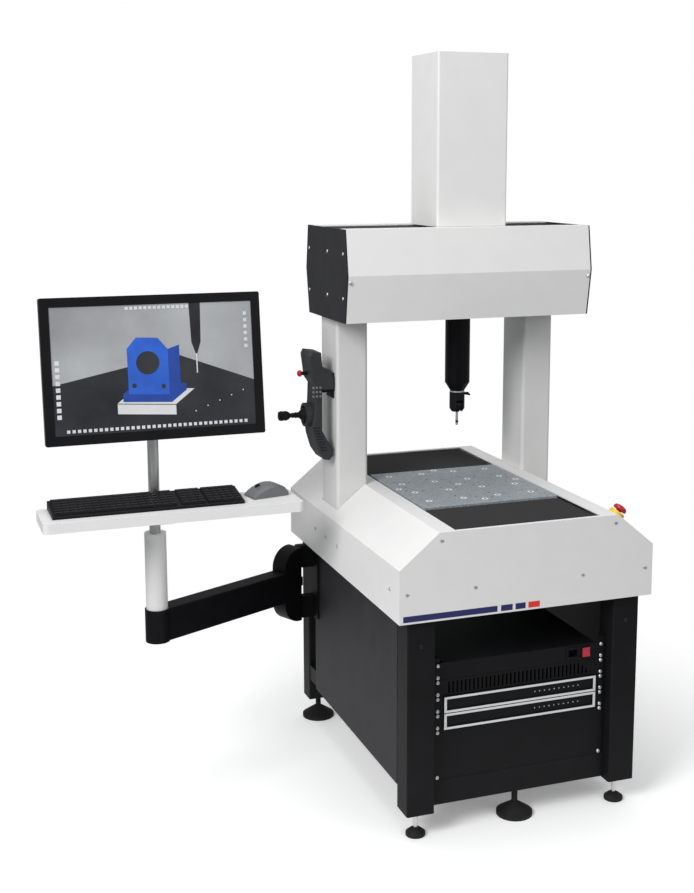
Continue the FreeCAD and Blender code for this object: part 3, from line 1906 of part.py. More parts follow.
def make_monitor():
    """Tilting monitor: a housing with a recessed screen, and ears on its back plate."""
    half_width = size.screen_width / 2
    half_height = size.screen_height / 2
    corners = [
        (-half_width, -half_height),
        (half_width, -half_height),
        (half_width, half_height),
        (-half_width, half_height),
    ]
    housing = prism("monitor_case", "XZ", corners, 0, size.screen_thickness)
    round_edges(housing, size.screen_round, parallel("Y"))
    doc.recompute()
    bezel = size.screen_bezel
    window = [
        (-half_width + bezel, -half_height + bezel),
        (half_width - bezel, -half_height + bezel),
        (half_width - bezel, half_height - bezel),
        (-half_width + bezel, half_height - bezel),
    ]
    add_pocket(housing, "screen_window", "XZ", window, -1, size.screen_recess)
    half = size.vesa_half
    plate_back = size.screen_thickness + size.vesa_thickness
    plate = block(
        "vesa_plate",
        (-half, size.screen_thickness - 1, -half),
        (half, plate_back, half),
    )
    pivot = size.tilt_depth
    pieces = [housing, plate]
    for sign in SIDES.values():
        start = (size.tilt_block_half + size.seat_play) * sign
        ear = start + size.ear_thickness * sign
        low, high = sorted((start, ear), key=float)
        ear_low = (low, plate_back - 1, -size.ear_radius)
        pieces.append(block("tilt_ear", ear_low, (high, pivot, size.ear_radius)))
        pieces.append(rod("tilt_ear_end", (low, pivot, 0), size.ear_radius, high - low, "X"))
    body = join("monitor_solid", *pieces)
    bore = rod(
        "tilt_bore",
        (-60, pivot, 0),
        size.tilt_pin_radius + size.hinge_play,
        120,
        "X",
    )
    monitor = cut("monitor_bored", body, bore)
    tilt = math.radians(float(size.screen_tilt))
    pivot_y = float(pivot)
    shift_y = Size(
        pivot_y * (1 - math.cos(tilt)),
        "(%s * (1 - cos(Dimensions.screen_tilt * 1 deg)))" % pivot.formula,
    )
    shift_z = Size(
        pivot_y * math.sin(tilt), "(%s * sin(Dimensions.screen_tilt * 1 deg))" % pivot.formula
    )
    base = (post[0], post[1] - size.screen_forward + shift_y, size.screen_centre + shift_z)
    place(monitor, base, FreeCAD.Rotation(AXIS["X"], -float(size.screen_tilt)))
    node("monitor", monitor)


def make_monitor_mount():
    """Clamp on the lift post with a block and the pin that the monitor tilts on."""
    low = size.screen_centre - size.mount_height / 2
    radius = size.mount_clamp_radius
    clamp = rod("mount_clamp", (post[0], post[1], low), radius, size.mount_height)
    pivot_y = post[1] - size.screen_forward + size.tilt_depth
    half = size.tilt_block_half
    nose = block(
        "mount_nose",
        (post[0] - half, pivot_y, size.screen_centre - size.ear_radius),
        (post[0] + half, post[1] - 14, size.screen_centre + size.ear_radius),
    )
    end = rod(
        "mount_nose_end",
        (post[0] - half, pivot_y, size.screen_centre),
        size.ear_radius,
        half * 2,
        "X",
    )
    pin_half = half + size.ear_thickness + 3
    pin = rod(
        "tilt_pin",
        (post[0] - pin_half, pivot_y, size.screen_centre),
        size.tilt_pin_radius,
        pin_half * 2,
        "X",
    )
    bore = rod(
        "mount_bore",
        (post[0], post[1], low - 1),
        size.post_radius + size.clamp_play,
        size.mount_height + 2,
    )
    body = join("mount_joined", clamp, nose, end)
    bored = cut("mount_bored", body, bore)
    node("monitor_mount", join("mount_with_pin", bored, pin))


pendant_y = cover_face + size.pendant_setback
column_side = -size.column_outer


def out(distance):
    """A place so far out from the left column's side."""
    return column_side - distance


def up(distance):
    """A height so far above the hook's shelf."""
    return size.shelf_height + distance


def make_pendant():
    """Hand pendant: a curved grip with a boss that hangs on the column's hook."""
    profile = [
        (out(76), up(96)),
        (out(70), up(108)),
        (out(40), up(104)),
        (out(37), up(62)),
        (out(12), up(54)),
        (out(3.6), up(36)),
        (out(3.6), up(0)),
        (out(38), up(0)),
        (out(38), up(-114)),
        (out(26), up(-138)),
        (out(8), up(-168)),
        (out(6), up(-184)),
        (out(18), up(-198)),
        (out(34), up(-195)),
        (out(50), up(-171)),
        (out(62), up(-131)),
        (out(66), up(-104)),
        (out(58), up(-36)),
        (out(56), up(14)),
        (out(68), up(32)),
    ]
    half = size.pendant_half_width
    body = prism("pendant_shell", "XZ", profile, pendant_y - half, pendant_y + half)

    def rim(edge):
        box = edge.BoundBox
        flat = abs(box.YMax - box.YMin) < 0.01
        long_enough = edge.Length > 9
        on_grip = box.XMax < float(out(3))
        return flat and long_enough and on_grip

    chamfer_edges(body, 4, rim)
    dome_axis = (out(56), pendant_y, size.gimbal_height)
    floor = size.gimbal_out - size.gimbal_drop - 56
    base_ring = lathe(
        "boot_base",
        [
            (0, 0),
            (size.boot_base_radius, 0),
            (size.boot_base_radius, 24),
            (size.dome_radius + 1.5, 24),
            (size.dome_radius + 1.5, floor),
            (0, floor),
        ],
        dome_axis,
        ALONG["-X"],
    )
    stop_hole = rod(
        "stop_well",
        (out(44), pendant_y, size.pendant_stop_height),
        size.pendant_stop_radius * 0.6 + size.seat_play,
        44,
        "-X",
    )
    boot_well = rod(
        "boot_well",
        (out(size.gimbal_out - size.gimbal_drop), pendant_y, size.gimbal_height),
        size.dome_radius + 1.5,
        20,
        "-X",
    )
    shell = cut("pendant_drilled", body, stop_hole, boot_well)
    half = size.gimbal_pin_half
    ears = [
        block(
            "gimbal_ear",
            (
                out(size.gimbal_out - size.gimbal_drop - 2),
                pendant_y + half * sign,
                size.gimbal_height - 4,
            ),
            (
                out(size.gimbal_out + 3),
                pendant_y + (half - size.gimbal_ear) * sign,
                size.gimbal_height + 4,
            ),
        )
        for sign in SIDES.values()
    ]
    pin_hole = rod(
        "pitch_pin_hole",
        (out(size.gimbal_out), pendant_y - 12, size.gimbal_height),
        size.gimbal_pin_radius + size.hinge_play,
        24,
        "Y",
    )
    joined = join("pendant_joined", shell, base_ring, *ears)
    node("pendant_body", cut("pendant_bored", joined, pin_hole))

    half_hook = size.hook_half_width
    backing = block(
        "hook_backing",
        (column_side, pendant_y - half_hook, up(-26)),
        (out(size.hook_plate), pendant_y + half_hook, up(44)),
    )
    shelf = block(
        "hook_shelf",
        (column_side, pendant_y - half_hook, up(-8)),
        (out(34), pendant_y + half_hook, up(0) - size.seat_play),
    )
    node("pendant_hook", join("pendant_hook_whole", backing, shelf))

    stop_base = (out(50), pendant_y, size.pendant_stop_height)
    cap = lathe(
        "pendant_stop_cap",
        [
            (0, 0),
            (size.pendant_stop_radius * 0.6, 0),
            (size.pendant_stop_radius * 0.6, 37),
            (size.pendant_stop_radius, 37),
            (size.pendant_stop_radius, 47),
            (0, 47),
        ],
        stop_base,
        ALONG["-X"],
    )
    node("pendant_stop", cap)


def make_joystick():
    """Gimbal cross and the stick with its rubber boot and grip, pointing away from the column."""
    centre_x = out(size.gimbal_out)
    height = size.gimbal_height
    half = size.gimbal_half
    reach = size.gimbal_pin_half
    core = block(
        "gimbal_core",
        (centre_x - half, pendant_y - half, height - half),
        (centre_x + half, pendant_y + half, height + half),
    )
    radius = size.gimbal_pin_radius
    pitch_pin = rod("pitch_pin", (centre_x, pendant_y - reach, height), radius, reach * 2, "Y")
    yaw_pin = rod("yaw_pin", (centre_x, pendant_y, height - reach), radius, reach * 2)
    node("joystick_gimbal", join("gimbal_cross", core, pitch_pin, yaw_pin))

    dome = size.dome_radius
    grip_low = size.grip_start - size.gimbal_out
    grip_high = grip_low + size.grip_length
    stick = lathe(
        "stick_body",
        [
            (size.boot_room_radius, 0),
            (dome * 0.94, 0),
            (dome * 0.94, dome * 0.32),
            (dome * 0.75, dome * 0.32),
            (dome * 0.75, dome * 0.66),
            (3.5, dome * 0.66),
            (3.5, grip_low),
            (size.grip_radius, grip_low),
            (size.grip_radius, grip_high),
            (0, grip_high),
            (0, size.boot_room_depth),
            (size.boot_room_radius, size.boot_room_depth),
        ],
        (centre_x, pendant_y, height),
        ALONG["-X"],
    )
    ears = [
        block(
            "stick_ear",
            (out(size.gimbal_out - 3), pendant_y - 4, height + reach * sign),
            (
                out(size.gimbal_out + size.boot_room_depth + 1),
                pendant_y + 4,
                height + (reach - size.gimbal_ear) * sign,
            ),
        )
        for sign in SIDES.values()
    ]
    hole = rod(
        "yaw_pin_hole",
        (centre_x, pendant_y, height - 12),
        radius + size.hinge_play,
        24,
    )
    node("joystick", cut("stick_bored", join("stick_joined", stick, *ears), hole))


def check_and_write():
    """Stop if anything failed to build, then write one file for each node."""
    doc.recompute()
    for item in doc.Objects:
        if "Invalid" in item.State or "Error" in item.State:
            raise RuntimeError("%s is %s" % (item.Name, item.State))
    os.makedirs("parts", exist_ok=True)
    for item in nodes:
        if item.Shape.isNull() or not item.Shape.isValid():
            raise RuntimeError("%s has no valid shape" % item.Label)
    for item in nodes:
        item.Shape.exportStep("parts/%s.step" % item.Label)


make_feet()
make_side_frames()
make_stand_plates()
make_power_unit()
make_vent_panel()
make_controllers()
make_blank_panels()
make_base_covers()
make_granite_base()
make_table()
make_table_drive()
make_table_bellows()
make_columns()
make_beam()
make_way_bellows()
make_carriage()
make_tower()
make_quill()
make_head()
make_emergency_stop()
make_arm()
make_arm_bracket()
make_posts()
make_tray()
make_keyboard()
make_mouse()
make_monitor()
make_monitor_mount()
make_pendant()
make_joystick()
check_and_write()
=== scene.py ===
"""Looks, lights and camera for the coordinate measuring machine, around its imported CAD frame."""

import json
import math

import bmesh
import bpy
from mathutils import Vector
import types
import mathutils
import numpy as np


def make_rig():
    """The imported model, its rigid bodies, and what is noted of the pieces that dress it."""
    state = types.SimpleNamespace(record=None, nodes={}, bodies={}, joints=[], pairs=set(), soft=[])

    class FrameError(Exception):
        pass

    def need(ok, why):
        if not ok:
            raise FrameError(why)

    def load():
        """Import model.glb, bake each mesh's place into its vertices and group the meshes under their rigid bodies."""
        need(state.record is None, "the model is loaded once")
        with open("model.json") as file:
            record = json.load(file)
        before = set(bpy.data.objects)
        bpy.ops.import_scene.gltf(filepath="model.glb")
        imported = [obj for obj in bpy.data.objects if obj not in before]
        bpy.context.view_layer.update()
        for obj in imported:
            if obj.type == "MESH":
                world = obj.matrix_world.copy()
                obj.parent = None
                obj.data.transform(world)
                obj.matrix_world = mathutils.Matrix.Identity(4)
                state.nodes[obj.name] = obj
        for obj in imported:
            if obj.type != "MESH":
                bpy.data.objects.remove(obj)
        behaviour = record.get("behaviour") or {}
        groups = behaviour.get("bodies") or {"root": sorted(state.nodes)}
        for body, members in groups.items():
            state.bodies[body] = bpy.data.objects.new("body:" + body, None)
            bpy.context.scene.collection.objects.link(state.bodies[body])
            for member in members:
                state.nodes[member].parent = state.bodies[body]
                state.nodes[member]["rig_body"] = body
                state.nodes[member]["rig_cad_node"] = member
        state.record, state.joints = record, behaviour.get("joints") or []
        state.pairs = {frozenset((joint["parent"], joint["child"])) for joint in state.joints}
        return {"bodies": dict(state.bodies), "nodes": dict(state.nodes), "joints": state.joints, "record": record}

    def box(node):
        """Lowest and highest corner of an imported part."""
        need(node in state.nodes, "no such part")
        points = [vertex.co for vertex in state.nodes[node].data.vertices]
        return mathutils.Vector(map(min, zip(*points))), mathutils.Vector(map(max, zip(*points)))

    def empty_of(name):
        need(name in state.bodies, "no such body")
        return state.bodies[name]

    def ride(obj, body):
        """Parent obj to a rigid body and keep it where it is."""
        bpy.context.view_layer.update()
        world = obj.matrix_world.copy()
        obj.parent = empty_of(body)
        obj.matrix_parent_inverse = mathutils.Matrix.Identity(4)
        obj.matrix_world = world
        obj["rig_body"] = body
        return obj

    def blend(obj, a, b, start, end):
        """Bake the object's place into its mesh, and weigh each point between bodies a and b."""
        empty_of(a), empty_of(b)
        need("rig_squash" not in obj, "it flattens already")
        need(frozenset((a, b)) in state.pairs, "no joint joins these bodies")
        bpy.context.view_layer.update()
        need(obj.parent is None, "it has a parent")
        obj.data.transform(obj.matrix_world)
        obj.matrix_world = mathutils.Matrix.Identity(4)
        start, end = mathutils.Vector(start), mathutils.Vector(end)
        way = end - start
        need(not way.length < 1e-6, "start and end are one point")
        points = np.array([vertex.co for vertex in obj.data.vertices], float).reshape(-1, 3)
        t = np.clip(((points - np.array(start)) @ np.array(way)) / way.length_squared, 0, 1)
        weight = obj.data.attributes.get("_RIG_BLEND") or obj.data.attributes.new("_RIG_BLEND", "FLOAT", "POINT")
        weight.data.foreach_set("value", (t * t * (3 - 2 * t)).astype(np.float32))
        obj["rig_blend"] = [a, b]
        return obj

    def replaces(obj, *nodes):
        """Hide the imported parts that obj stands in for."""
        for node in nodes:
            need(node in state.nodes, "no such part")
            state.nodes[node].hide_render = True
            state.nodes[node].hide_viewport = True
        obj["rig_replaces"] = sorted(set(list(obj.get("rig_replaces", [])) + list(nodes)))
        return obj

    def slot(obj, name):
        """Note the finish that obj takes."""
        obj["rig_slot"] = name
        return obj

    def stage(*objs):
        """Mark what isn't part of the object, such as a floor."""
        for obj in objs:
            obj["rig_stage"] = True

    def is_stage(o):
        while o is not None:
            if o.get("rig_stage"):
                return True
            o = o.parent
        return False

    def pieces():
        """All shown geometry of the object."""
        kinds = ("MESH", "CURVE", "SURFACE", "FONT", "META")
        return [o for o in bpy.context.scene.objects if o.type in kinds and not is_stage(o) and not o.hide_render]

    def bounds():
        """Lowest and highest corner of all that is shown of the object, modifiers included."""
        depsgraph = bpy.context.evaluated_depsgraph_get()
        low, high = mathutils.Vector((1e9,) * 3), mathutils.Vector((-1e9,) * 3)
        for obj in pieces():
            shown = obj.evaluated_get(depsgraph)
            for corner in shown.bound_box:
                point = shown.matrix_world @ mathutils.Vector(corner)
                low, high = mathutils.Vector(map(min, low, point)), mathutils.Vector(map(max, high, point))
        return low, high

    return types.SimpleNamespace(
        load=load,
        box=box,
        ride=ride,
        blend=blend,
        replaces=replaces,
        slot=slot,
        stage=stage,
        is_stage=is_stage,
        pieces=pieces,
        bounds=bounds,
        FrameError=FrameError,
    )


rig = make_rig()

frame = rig.load()
nodes = frame["nodes"]
cad_box = [list(corner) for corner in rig.bounds()]


def finish(
    name,
    colour,
    rough,
    metal=0.0,
    spread=0.06,
    coarse=14.0,
    fine=900.0,
    bump=0.15,
    coat=0.0,
):
    """Procedural finish: slow and fine colour variation, grain in the bump, uneven roughness."""
    mat = bpy.data.materials.new(name)
    mat.use_nodes = True
    tree = mat.node_tree
    shader = tree.nodes["Principled BSDF"]
    coords = tree.nodes.new("ShaderNodeTexCoord")
    slow = tree.nodes.new("ShaderNodeTexNoise")
    slow.inputs["Scale"].default_value = coarse
    slow.inputs["Detail"].default_value = 6
    grain = tree.nodes.new("ShaderNodeTexNoise")
    grain.inputs["Scale"].default_value = fine
    grain.inputs["Detail"].default_value = 3
    tint = tree.nodes.new("ShaderNodeValToRGB")
    low, high = tint.color_ramp.elements
    low.position, high.position = 0.3, 0.7
    low.color = [c * (1 - spread) for c in colour] + [1]
    high.color = [min(1, c * (1 + spread)) for c in colour] + [1]
    uneven = tree.nodes.new("ShaderNodeMapRange")
    uneven.inputs["To Min"].default_value = max(0.03, rough - 0.06)
    uneven.inputs["To Max"].default_value = min(1, rough + 0.08)
    relief = tree.nodes.new("ShaderNodeBump")
    relief.inputs["Strength"].default_value = bump
    relief.inputs["Distance"].default_value = 0.0002
    link = tree.links.new
    for noise in (slow, grain):
        link(coords.outputs["Object"], noise.inputs["Vector"])
    link(slow.outputs["Fac"], tint.inputs["Fac"])
    link(tint.outputs["Color"], shader.inputs["Base Color"])
    link(grain.outputs["Fac"], uneven.inputs["Value"])
    link(uneven.outputs["Result"], shader.inputs["Roughness"])
    link(grain.outputs["Fac"], relief.inputs["Height"])
    link(relief.outputs["Normal"], shader.inputs["Normal"])
    shader.inputs["Metallic"].default_value = metal
    dull = max(colour) < 0.05 and name != "bellows_cloth"
    shader.inputs["Specular IOR Level"].default_value = 0.12 if dull else 0.5
    shader.inputs["Coat Weight"].default_value = coat
    return mat


FINISHES = {
    "white_cover": ((0.72, 0.72, 0.71), 0.42, 0, 0.015),
    "light_grey_paint": ((0.62, 0.62, 0.61), 0.4, 0, 0.02),
    "charcoal_paint": ((0.007, 0.007, 0.008), 0.55, 0, 0.15),
    "panel_grey": ((0.022, 0.022, 0.024), 0.55, 0, 0.12),
    "rack_black": ((0.006, 0.006, 0.007), 0.5, 0, 0.15),
    "ground_steel": ((0.5, 0.51, 0.53), 0.28, 1, 0.06),
    "zinc_steel": ((0.6, 0.6, 0.6), 0.35, 1, 0.08),
    "machined_aluminium": ((0.6, 0.61, 0.63), 0.35, 1, 0.06),
    "bellows_cloth": ((0.01, 0.01, 0.011), 0.5, 0, 0.3),
    "foot_rubber": ((0.015, 0.015, 0.016), 0.6, 0, 0.3),
    "quill_black": ((0.003, 0.003, 0.004), 0.3, 0, 0.2),
    "head_black": ((0.008, 0.008, 0.009), 0.35, 0, 0.2),
    "probe_steel": ((0.65, 0.66, 0.67), 0.22, 1, 0.05),
    "stop_red": ((0.42, 0.008, 0.02), 0.32, 0, 0.1),
    "stop_yellow": ((0.75, 0.48, 0.02), 0.35, 0, 0.08),
    "arm_black": ((0.004, 0.004, 0.005), 0.5, 0, 0.2),
    "tube_white": ((0.7, 0.7, 0.69), 0.22, 0, 0.02),
    "post_silver": ((0.5, 0.5, 0.5), 0.34, 1, 0.05),
    "tray_white": ((0.74, 0.74, 0.73), 0.35, 0, 0.015),
    "key_black": ((0.008, 0.008, 0.009), 0.45, 0, 0.2),
    "mouse_shell": ((0.12, 0.125, 0.13), 0.35, 0, 0.1),
    "screen_case": ((0.008, 0.008, 0.009), 0.3, 0, 0.15),
    "pendant_grey": ((0.035, 0.036, 0.038), 0.5, 0, 0.12),
    "soft_black": ((0.01, 0.01, 0.011), 0.55, 0, 0.2),
}
mats = {name: finish(name, *values) for name, values in FINISHES.items()}
mats["granite_speck"] = finish("granite_speck", (0.25, 0.28, 0.3), 0.35, 0, 0.45, 260, 1500, 0.05)
mats["navy"] = finish("navy", (0.012, 0.016, 0.1), 0.4, 0, 0.05)
mats["red"] = finish("red", (0.72, 0.03, 0.015), 0.4, 0, 0.05)
mats["fascia"] = finish("fascia", (0.62, 0.63, 0.64), 0.35, 0, 0.04)
mats["bright"] = finish("bright", (0.78, 0.78, 0.78), 0.4, 0, 0.05)
mats["key_cap"] = finish("key_cap", (0.016, 0.016, 0.018), 0.42, 0, 0.15)
mats["view_mid"] = finish("view_mid", (0.01, 0.05, 0.3), 0.4, 0, 0.2, 12, 60, 0)
mats["view_grey"] = finish("view_grey", (0.3, 0.31, 0.32), 0.4, 0, 0.35, 3, 40, 0)
mats["view_dark"] = finish("view_dark", (0.03, 0.032, 0.036), 0.4, 0, 0.3, 8, 60, 0)
mats["view_blue"] = finish("view_blue", (0.02, 0.1, 0.5), 0.3, 0, 0.3, 12, 60, 0)
mats["view_pale"] = finish("view_pale", (0.6, 0.61, 0.62), 0.4, 0, 0.08, 12, 60, 0)

# Painted highlight: the crests of the table's bellows are painted paler than their folds, standing in for light
# catching them; higher up, as on the way bellows, the whole cloth takes the paler colour.
tree = mats["bellows_cloth"].node_tree
coords = tree.nodes.new("ShaderNodeTexCoord")
split = tree.nodes.new("ShaderNodeSeparateXYZ")
crest = tree.nodes.new("ShaderNodeMapRange")
crest.inputs["From Min"].default_value = 0.796
crest.inputs["From Max"].default_value = 0.8005
painted_crest_highlight = tree.nodes.new("ShaderNodeMix")
painted_crest_highlight.data_type = "RGBA"
# Paler colour of the painted crest highlight.
painted_crest_highlight.inputs[7].default_value = (0.028, 0.028, 0.03, 1)
tree.links.new(coords.outputs["Object"], split.inputs["Vector"])
tree.links.new(split.outputs["Z"], crest.inputs["Value"])
tree.links.new(crest.outputs["Result"], painted_crest_highlight.inputs[0])
tree.links.new(tree.nodes["Color Ramp"].outputs["Color"], painted_crest_highlight.inputs[6])
tree.links.new(painted_crest_highlight.outputs[2], tree.nodes["Principled BSDF"].inputs["Base Color"])

slot_of = {part["node"]: part["material_slot"] for part in frame["record"]["subparts"]}
for name, obj in nodes.items():
    chosen = mats["granite_speck" if slot_of[name] == "granite" else slot_of[name]]
    if name == "rack_rails":
        chosen = mats["rack_black"]
    if not obj.material_slots:
        obj.data.materials.append(chosen)
    for entry in obj.material_slots:
        entry.material = chosen


def piece(name, bm, mat, body, smooth=False, slot=None):
    """Turn a bmesh into a named piece that rides on a body."""
    bmesh.ops.recalc_face_normals(bm, faces=bm.faces)
    mesh = bpy.data.meshes.new(name)
    bm.to_mesh(mesh)
    bm.free()
    mesh.materials.append(mats[mat])
    if smooth:
        mesh.polygons.foreach_set("use_smooth", [True] * len(mesh.polygons))
    obj = bpy.data.objects.new(name, mesh)
    bpy.context.scene.collection.objects.link(obj)
    if body:
        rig.ride(obj, body)
    if slot:
        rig.slot(obj, slot)
    return obj


def add_block(bm, low, high, edge=0.0):
    """A box between two corners, its edges rounded."""
    made = bmesh.ops.create_cube(bm, size=1)["verts"]
    middle = [(a + b) / 2 for a, b in zip(low, high)]
    span = [b - a for a, b in zip(low, high)]
    bmesh.ops.scale(bm, vec=span, verts=made)
    bmesh.ops.translate(bm, vec=middle, verts=made)
    if edge:
        edges = list({e for v in made for e in v.link_edges})
        bmesh.ops.bevel(bm, geom=edges, offset=edge, segments=2, affect="EDGES")


def add_turned(bm, outline, at, axis, steps=48):
    """Revolve (radius, distance) points about an axis through at."""
    turn = Vector((0, 0, 1)).rotation_difference(Vector(axis)).to_matrix()
    rings = []
    for radius, along in outline:
        ring = []
        for step in range(steps):
            angle = 2 * math.pi * step / steps
            point = Vector((radius * math.cos(angle), radius * math.sin(angle), along))
            ring.append(bm.verts.new(Vector(at) + turn @ point))
        rings.append(ring)
    for below, above in zip(rings, rings[1:]):
        for step in range(steps):
            after = (step + 1) % steps
            bm.faces.new((below[step], below[after], above[after], above[step]))
    bm.faces.new(rings[0])
    bm.faces.new(rings[-1])


def add_screws(bm, places, axis, radius=0.0052, height=0.0028):
    """Button-head screws with a socket."""
    for place in places:
        add_turned(
            bm,
            [
                (radius, 0),
                (radius, height * 0.4),
                (radius * 0.75, height * 0.9),
                (radius * 0.45, height),
                (radius * 0.45, height * 0.3),
            ],
            place,
            axis,
            20,
        )


def pleats(name, along, start, end, low, high, side_low, side_high, folds, bodies, node):
    """A folded bellows between two ends, its sides stitched down; it blends between two bodies."""
    bm = bmesh.new()
    rows = []
    count = folds * 6
    for step in range(count + 1):
        share = step / count
        phase = (share * folds) % 1
        top = low + (high - low) * (1 - abs(2 * phase - 1) ** 1.4)
        place = start + (end - start) * share
        row = []
        for side, height in (
            (side_low, low),
            (side_low + 0.002, top),
            (side_high - 0.002, top),
            (side_high, low),
        ):
            point = (side, place, height) if along == "Y" else (place, side, height)
            row.append(bm.verts.new(point))
        rows.append(row)
    for before, after in zip(rows, rows[1:]):
        for index in range(4):
            follow = (index + 1) % 4
            bm.faces.new((before[index], before[follow], after[follow], after[index]))
    bm.faces.new(rows[0])
    bm.faces.new(rows[-1])
    obj = piece(name, bm, "bellows_cloth", None, slot="bellows_cloth")
    point = (lambda v: (0, v, low)) if along == "Y" else (lambda v: (v, 0, low))
    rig.blend(obj, bodies[0], bodies[1], point(start), point(end))
    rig.replaces(obj, node)


mm = 0.001
table_low, table_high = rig.box("table_plate")
cloth_low, cloth_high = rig.box("table_bellows")
pleats(
    "front_bellows",
    "Y",
    cloth_low[1],
    table_low[1],
    0.775,
    0.8005,
    -0.2,
    0.2,
    15,
    ("machine_base", "table"),
    "table_bellows",
)
pleats(
    "rear_bellows",
    "Y",
    cloth_high[1],
    table_high[1],
    0.775,
    0.8005,
    -0.2,
    0.2,
    17,
    ("machine_base", "table"),
    "table_bellows",
)
tower_low, tower_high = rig.box("tower_cover")
way_low, way_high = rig.box("way_bellows")
pleats(
    "left_way_bellows",
    "X",
    way_low[0],
    tower_low[0],
    1.5005,
    1.5185,
    way_low[1],
    way_high[1],
    18,
    ("machine_base", "carriage"),
    "way_bellows",
)
pleats(
    "right_way_bellows",
    "X",
    way_high[0],
    tower_high[0],
    1.5005,
    1.5185,
    way_low[1],
    way_high[1],
    15,
    ("machine_base", "carriage"),
    "way_bellows",
)

# Screws on the rack, the legs, the covers and the beam.
bm = bmesh.new()
rack = []
for first, last in ((0, 1), (1, 2), (2, 3), (3, 4), (4, 7)):
    for height in (453.2 - 44.45 * first - 6.35, 453.2 - 44.45 * last + 6.35):
        rack += [(x * mm, -0.025, height * mm) for x in (-232.55, 232.55)]
add_screws(bm, rack, (0, -1, 0))
piece("rack_screws", bm, "zinc_steel", "machine_base")
bm = bmesh.new()
front = [(332, 655), (-332, 655), (150, 655), (-150, 655), (241.5, 783), (-241.5, 783)]
add_screws(bm, [(x * mm, -0.067, z * mm) for x, z in front], (0, -1, 0), 0.005, 0.001)
piece("cover_screws", bm, "zinc_steel", "machine_base")
bm = bmesh.new()
end_low, end_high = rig.box("beam_end_caps")
for side in (-1, 1):
    spots = [(side * abs(end_low[0]), y, z) for y in (0.33, 0.46, 0.62) for z in (1.342, 1.4585)]
    add_screws(bm, spots, (side, 0, 0), 0.0052, 0.0028 if side < 0 else 0.001)
piece("beam_screws", bm, "zinc_steel", "machine_base")
bm = bmesh.new()
low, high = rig.box("left_cover")
add_screws(bm, [(low[0], y * mm, 0.654) for y in (-4, 402, 502, 598)], (-1, 0, 0))
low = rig.box("beam_front_cover")[0]
add_screws(bm, [(x, low[1] + 0.0012, 1.3845) for x in (-0.3485, 0.3485)], (0, -1, 0))
piece("side_screws", bm, "zinc_steel", "machine_base")
bm = bmesh.new()
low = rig.box("left_side_frame")[0]
add_screws(bm, [(x, low[1], 0.5146) for x in (-0.288, 0.288)], (0, -1, 0))
piece("leg_screws", bm, "panel_grey", "machine_base")

# Black moulded bases round the pads of the two levelling feet.
low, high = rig.box("levelling_feet")
radius = (high[1] - low[1]) / 2
bm = bmesh.new()
for x in (low[0] + radius, high[0] - radius):
    at = (x, low[1] + radius, 0)
    add_turned(
        bm,
        [
            (radius + 0.0004, 0.0002),
            (radius + 0.0004, 0.0085),
            (radius * 0.62, 0.0165),
            (0.0085, 0.0215),
            (0.006, 0.0216),
        ],
        at,
        (0, 0, 1),
    )
piece("leveller_bases", bm, "foot_rubber", "machine_base", True)

# Bright rings on the table's inserts, flat dark discs over their threaded bores as painted shade of the holes, and the
# clearance marks between them.
low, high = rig.box("table_plate")
bm = bmesh.new()
dark_disc_bm = bmesh.new()
centres = []
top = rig.box("table_inserts")[1][2]
for vertex in nodes["table_inserts"].data.vertices:
    if vertex.co.z < top - 0.001:
        continue
    if all((vertex.co - other).length > 0.03 for other in centres):
        near = [
            v.co
            for v in nodes["table_inserts"].data.vertices
            if (v.co - vertex.co).length < 0.03 and v.co.z > top - 0.001
        ]
        centres.append(sum(near, Vector()) / len(near))
for spot in centres:
    x, y = spot.x, spot.y
    add_turned(
        bm,
        [(0.0034, 0), (0.0092, 0), (0.0092, 0.0003), (0.0036, 0.0003)],
        (x, y, high[2] - 0.0002),
        (0, 0, 1),
        28,
    )
    # Flat dark disc over the bore: painted shade standing in for the depth of the threaded hole.
    add_turned(
        dark_disc_bm,
        [(0.0035, 0), (0.0035, 0.00035), (0.001, 0.00035)],
        (x, y, high[2] - 0.0002),
        (0, 0, 1),
        20,
    )
    for shift in ((0.026, 0.012), (-0.012, 0.03)):
        inside_x = low[0] + 0.01 < x + shift[0] < high[0] - 0.01
        inside_y = low[1] + 0.01 < y + shift[1] < high[1] - 0.01
        if inside_x and inside_y:
            add_turned(
                dark_disc_bm,
                [(0.0026, 0), (0.0026, 0.0003), (0.001, 0.0003)],
                (x + shift[0], y + shift[1], high[2] - 0.0002),
                (0, 0, 1),
                16,
            )
piece("insert_faces", bm, "bright", "table")
# Dark discs: painted shade of the bores, and the clearance marks.
piece("insert_bore_shade_and_marks", dark_disc_bm, "key_black", "table")

# Plain coloured band with a red end along the foot of the front cover.
bm = bmesh.new()
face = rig.box("front_cover")[0][1]
for left, right in ((-343, -90), (-80, -48), (-40, -12)):
    add_block(bm, (left * mm, face - 0.0002, 0.586), (right * mm, face + 0.0005, 0.6015))
piece("front_band", bm, "navy", "machine_base")
bm = bmesh.new()
add_block(bm, (-0.004, face - 0.0002, 0.586), (0.028, face + 0.0005, 0.6015))
piece("front_band_end", bm, "red", "machine_base")

# Light fascia strips and status lamps on the two controllers.
for node in ("upper_controller", "lower_controller"):
    low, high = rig.box(node)
    bm = bmesh.new()
    for height in (low[2] + 0.0008, high[2] - 0.0068):
        add_block(
            bm,
            (-0.216, low[1] - 0.0006, height),
            (0.216, low[1] + 0.001, height + 0.006),
            0.0003,
        )
    for side in (-1, 1):
        near, far = sorted((side * 0.216, side * 0.209))
        add_block(
            bm,
            (near, low[1] - 0.0006, low[2] + 0.0068),
            (far, low[1] + 0.001, high[2] - 0.0068),
            0.0003,
        )
    piece(node + "_trim", bm, "fascia", "machine_base")
    bm = bmesh.new()
    middle = (low[2] + high[2]) / 2
    add_screws(
        bm,
        [(x * mm, low[1] + 0.0035, middle) for x in range(40, 180, 14)],
        (0, -1, 0),
        0.0016,
        0.001,
    )
    piece(node + "_lamps", bm, "fascia", "machine_base")

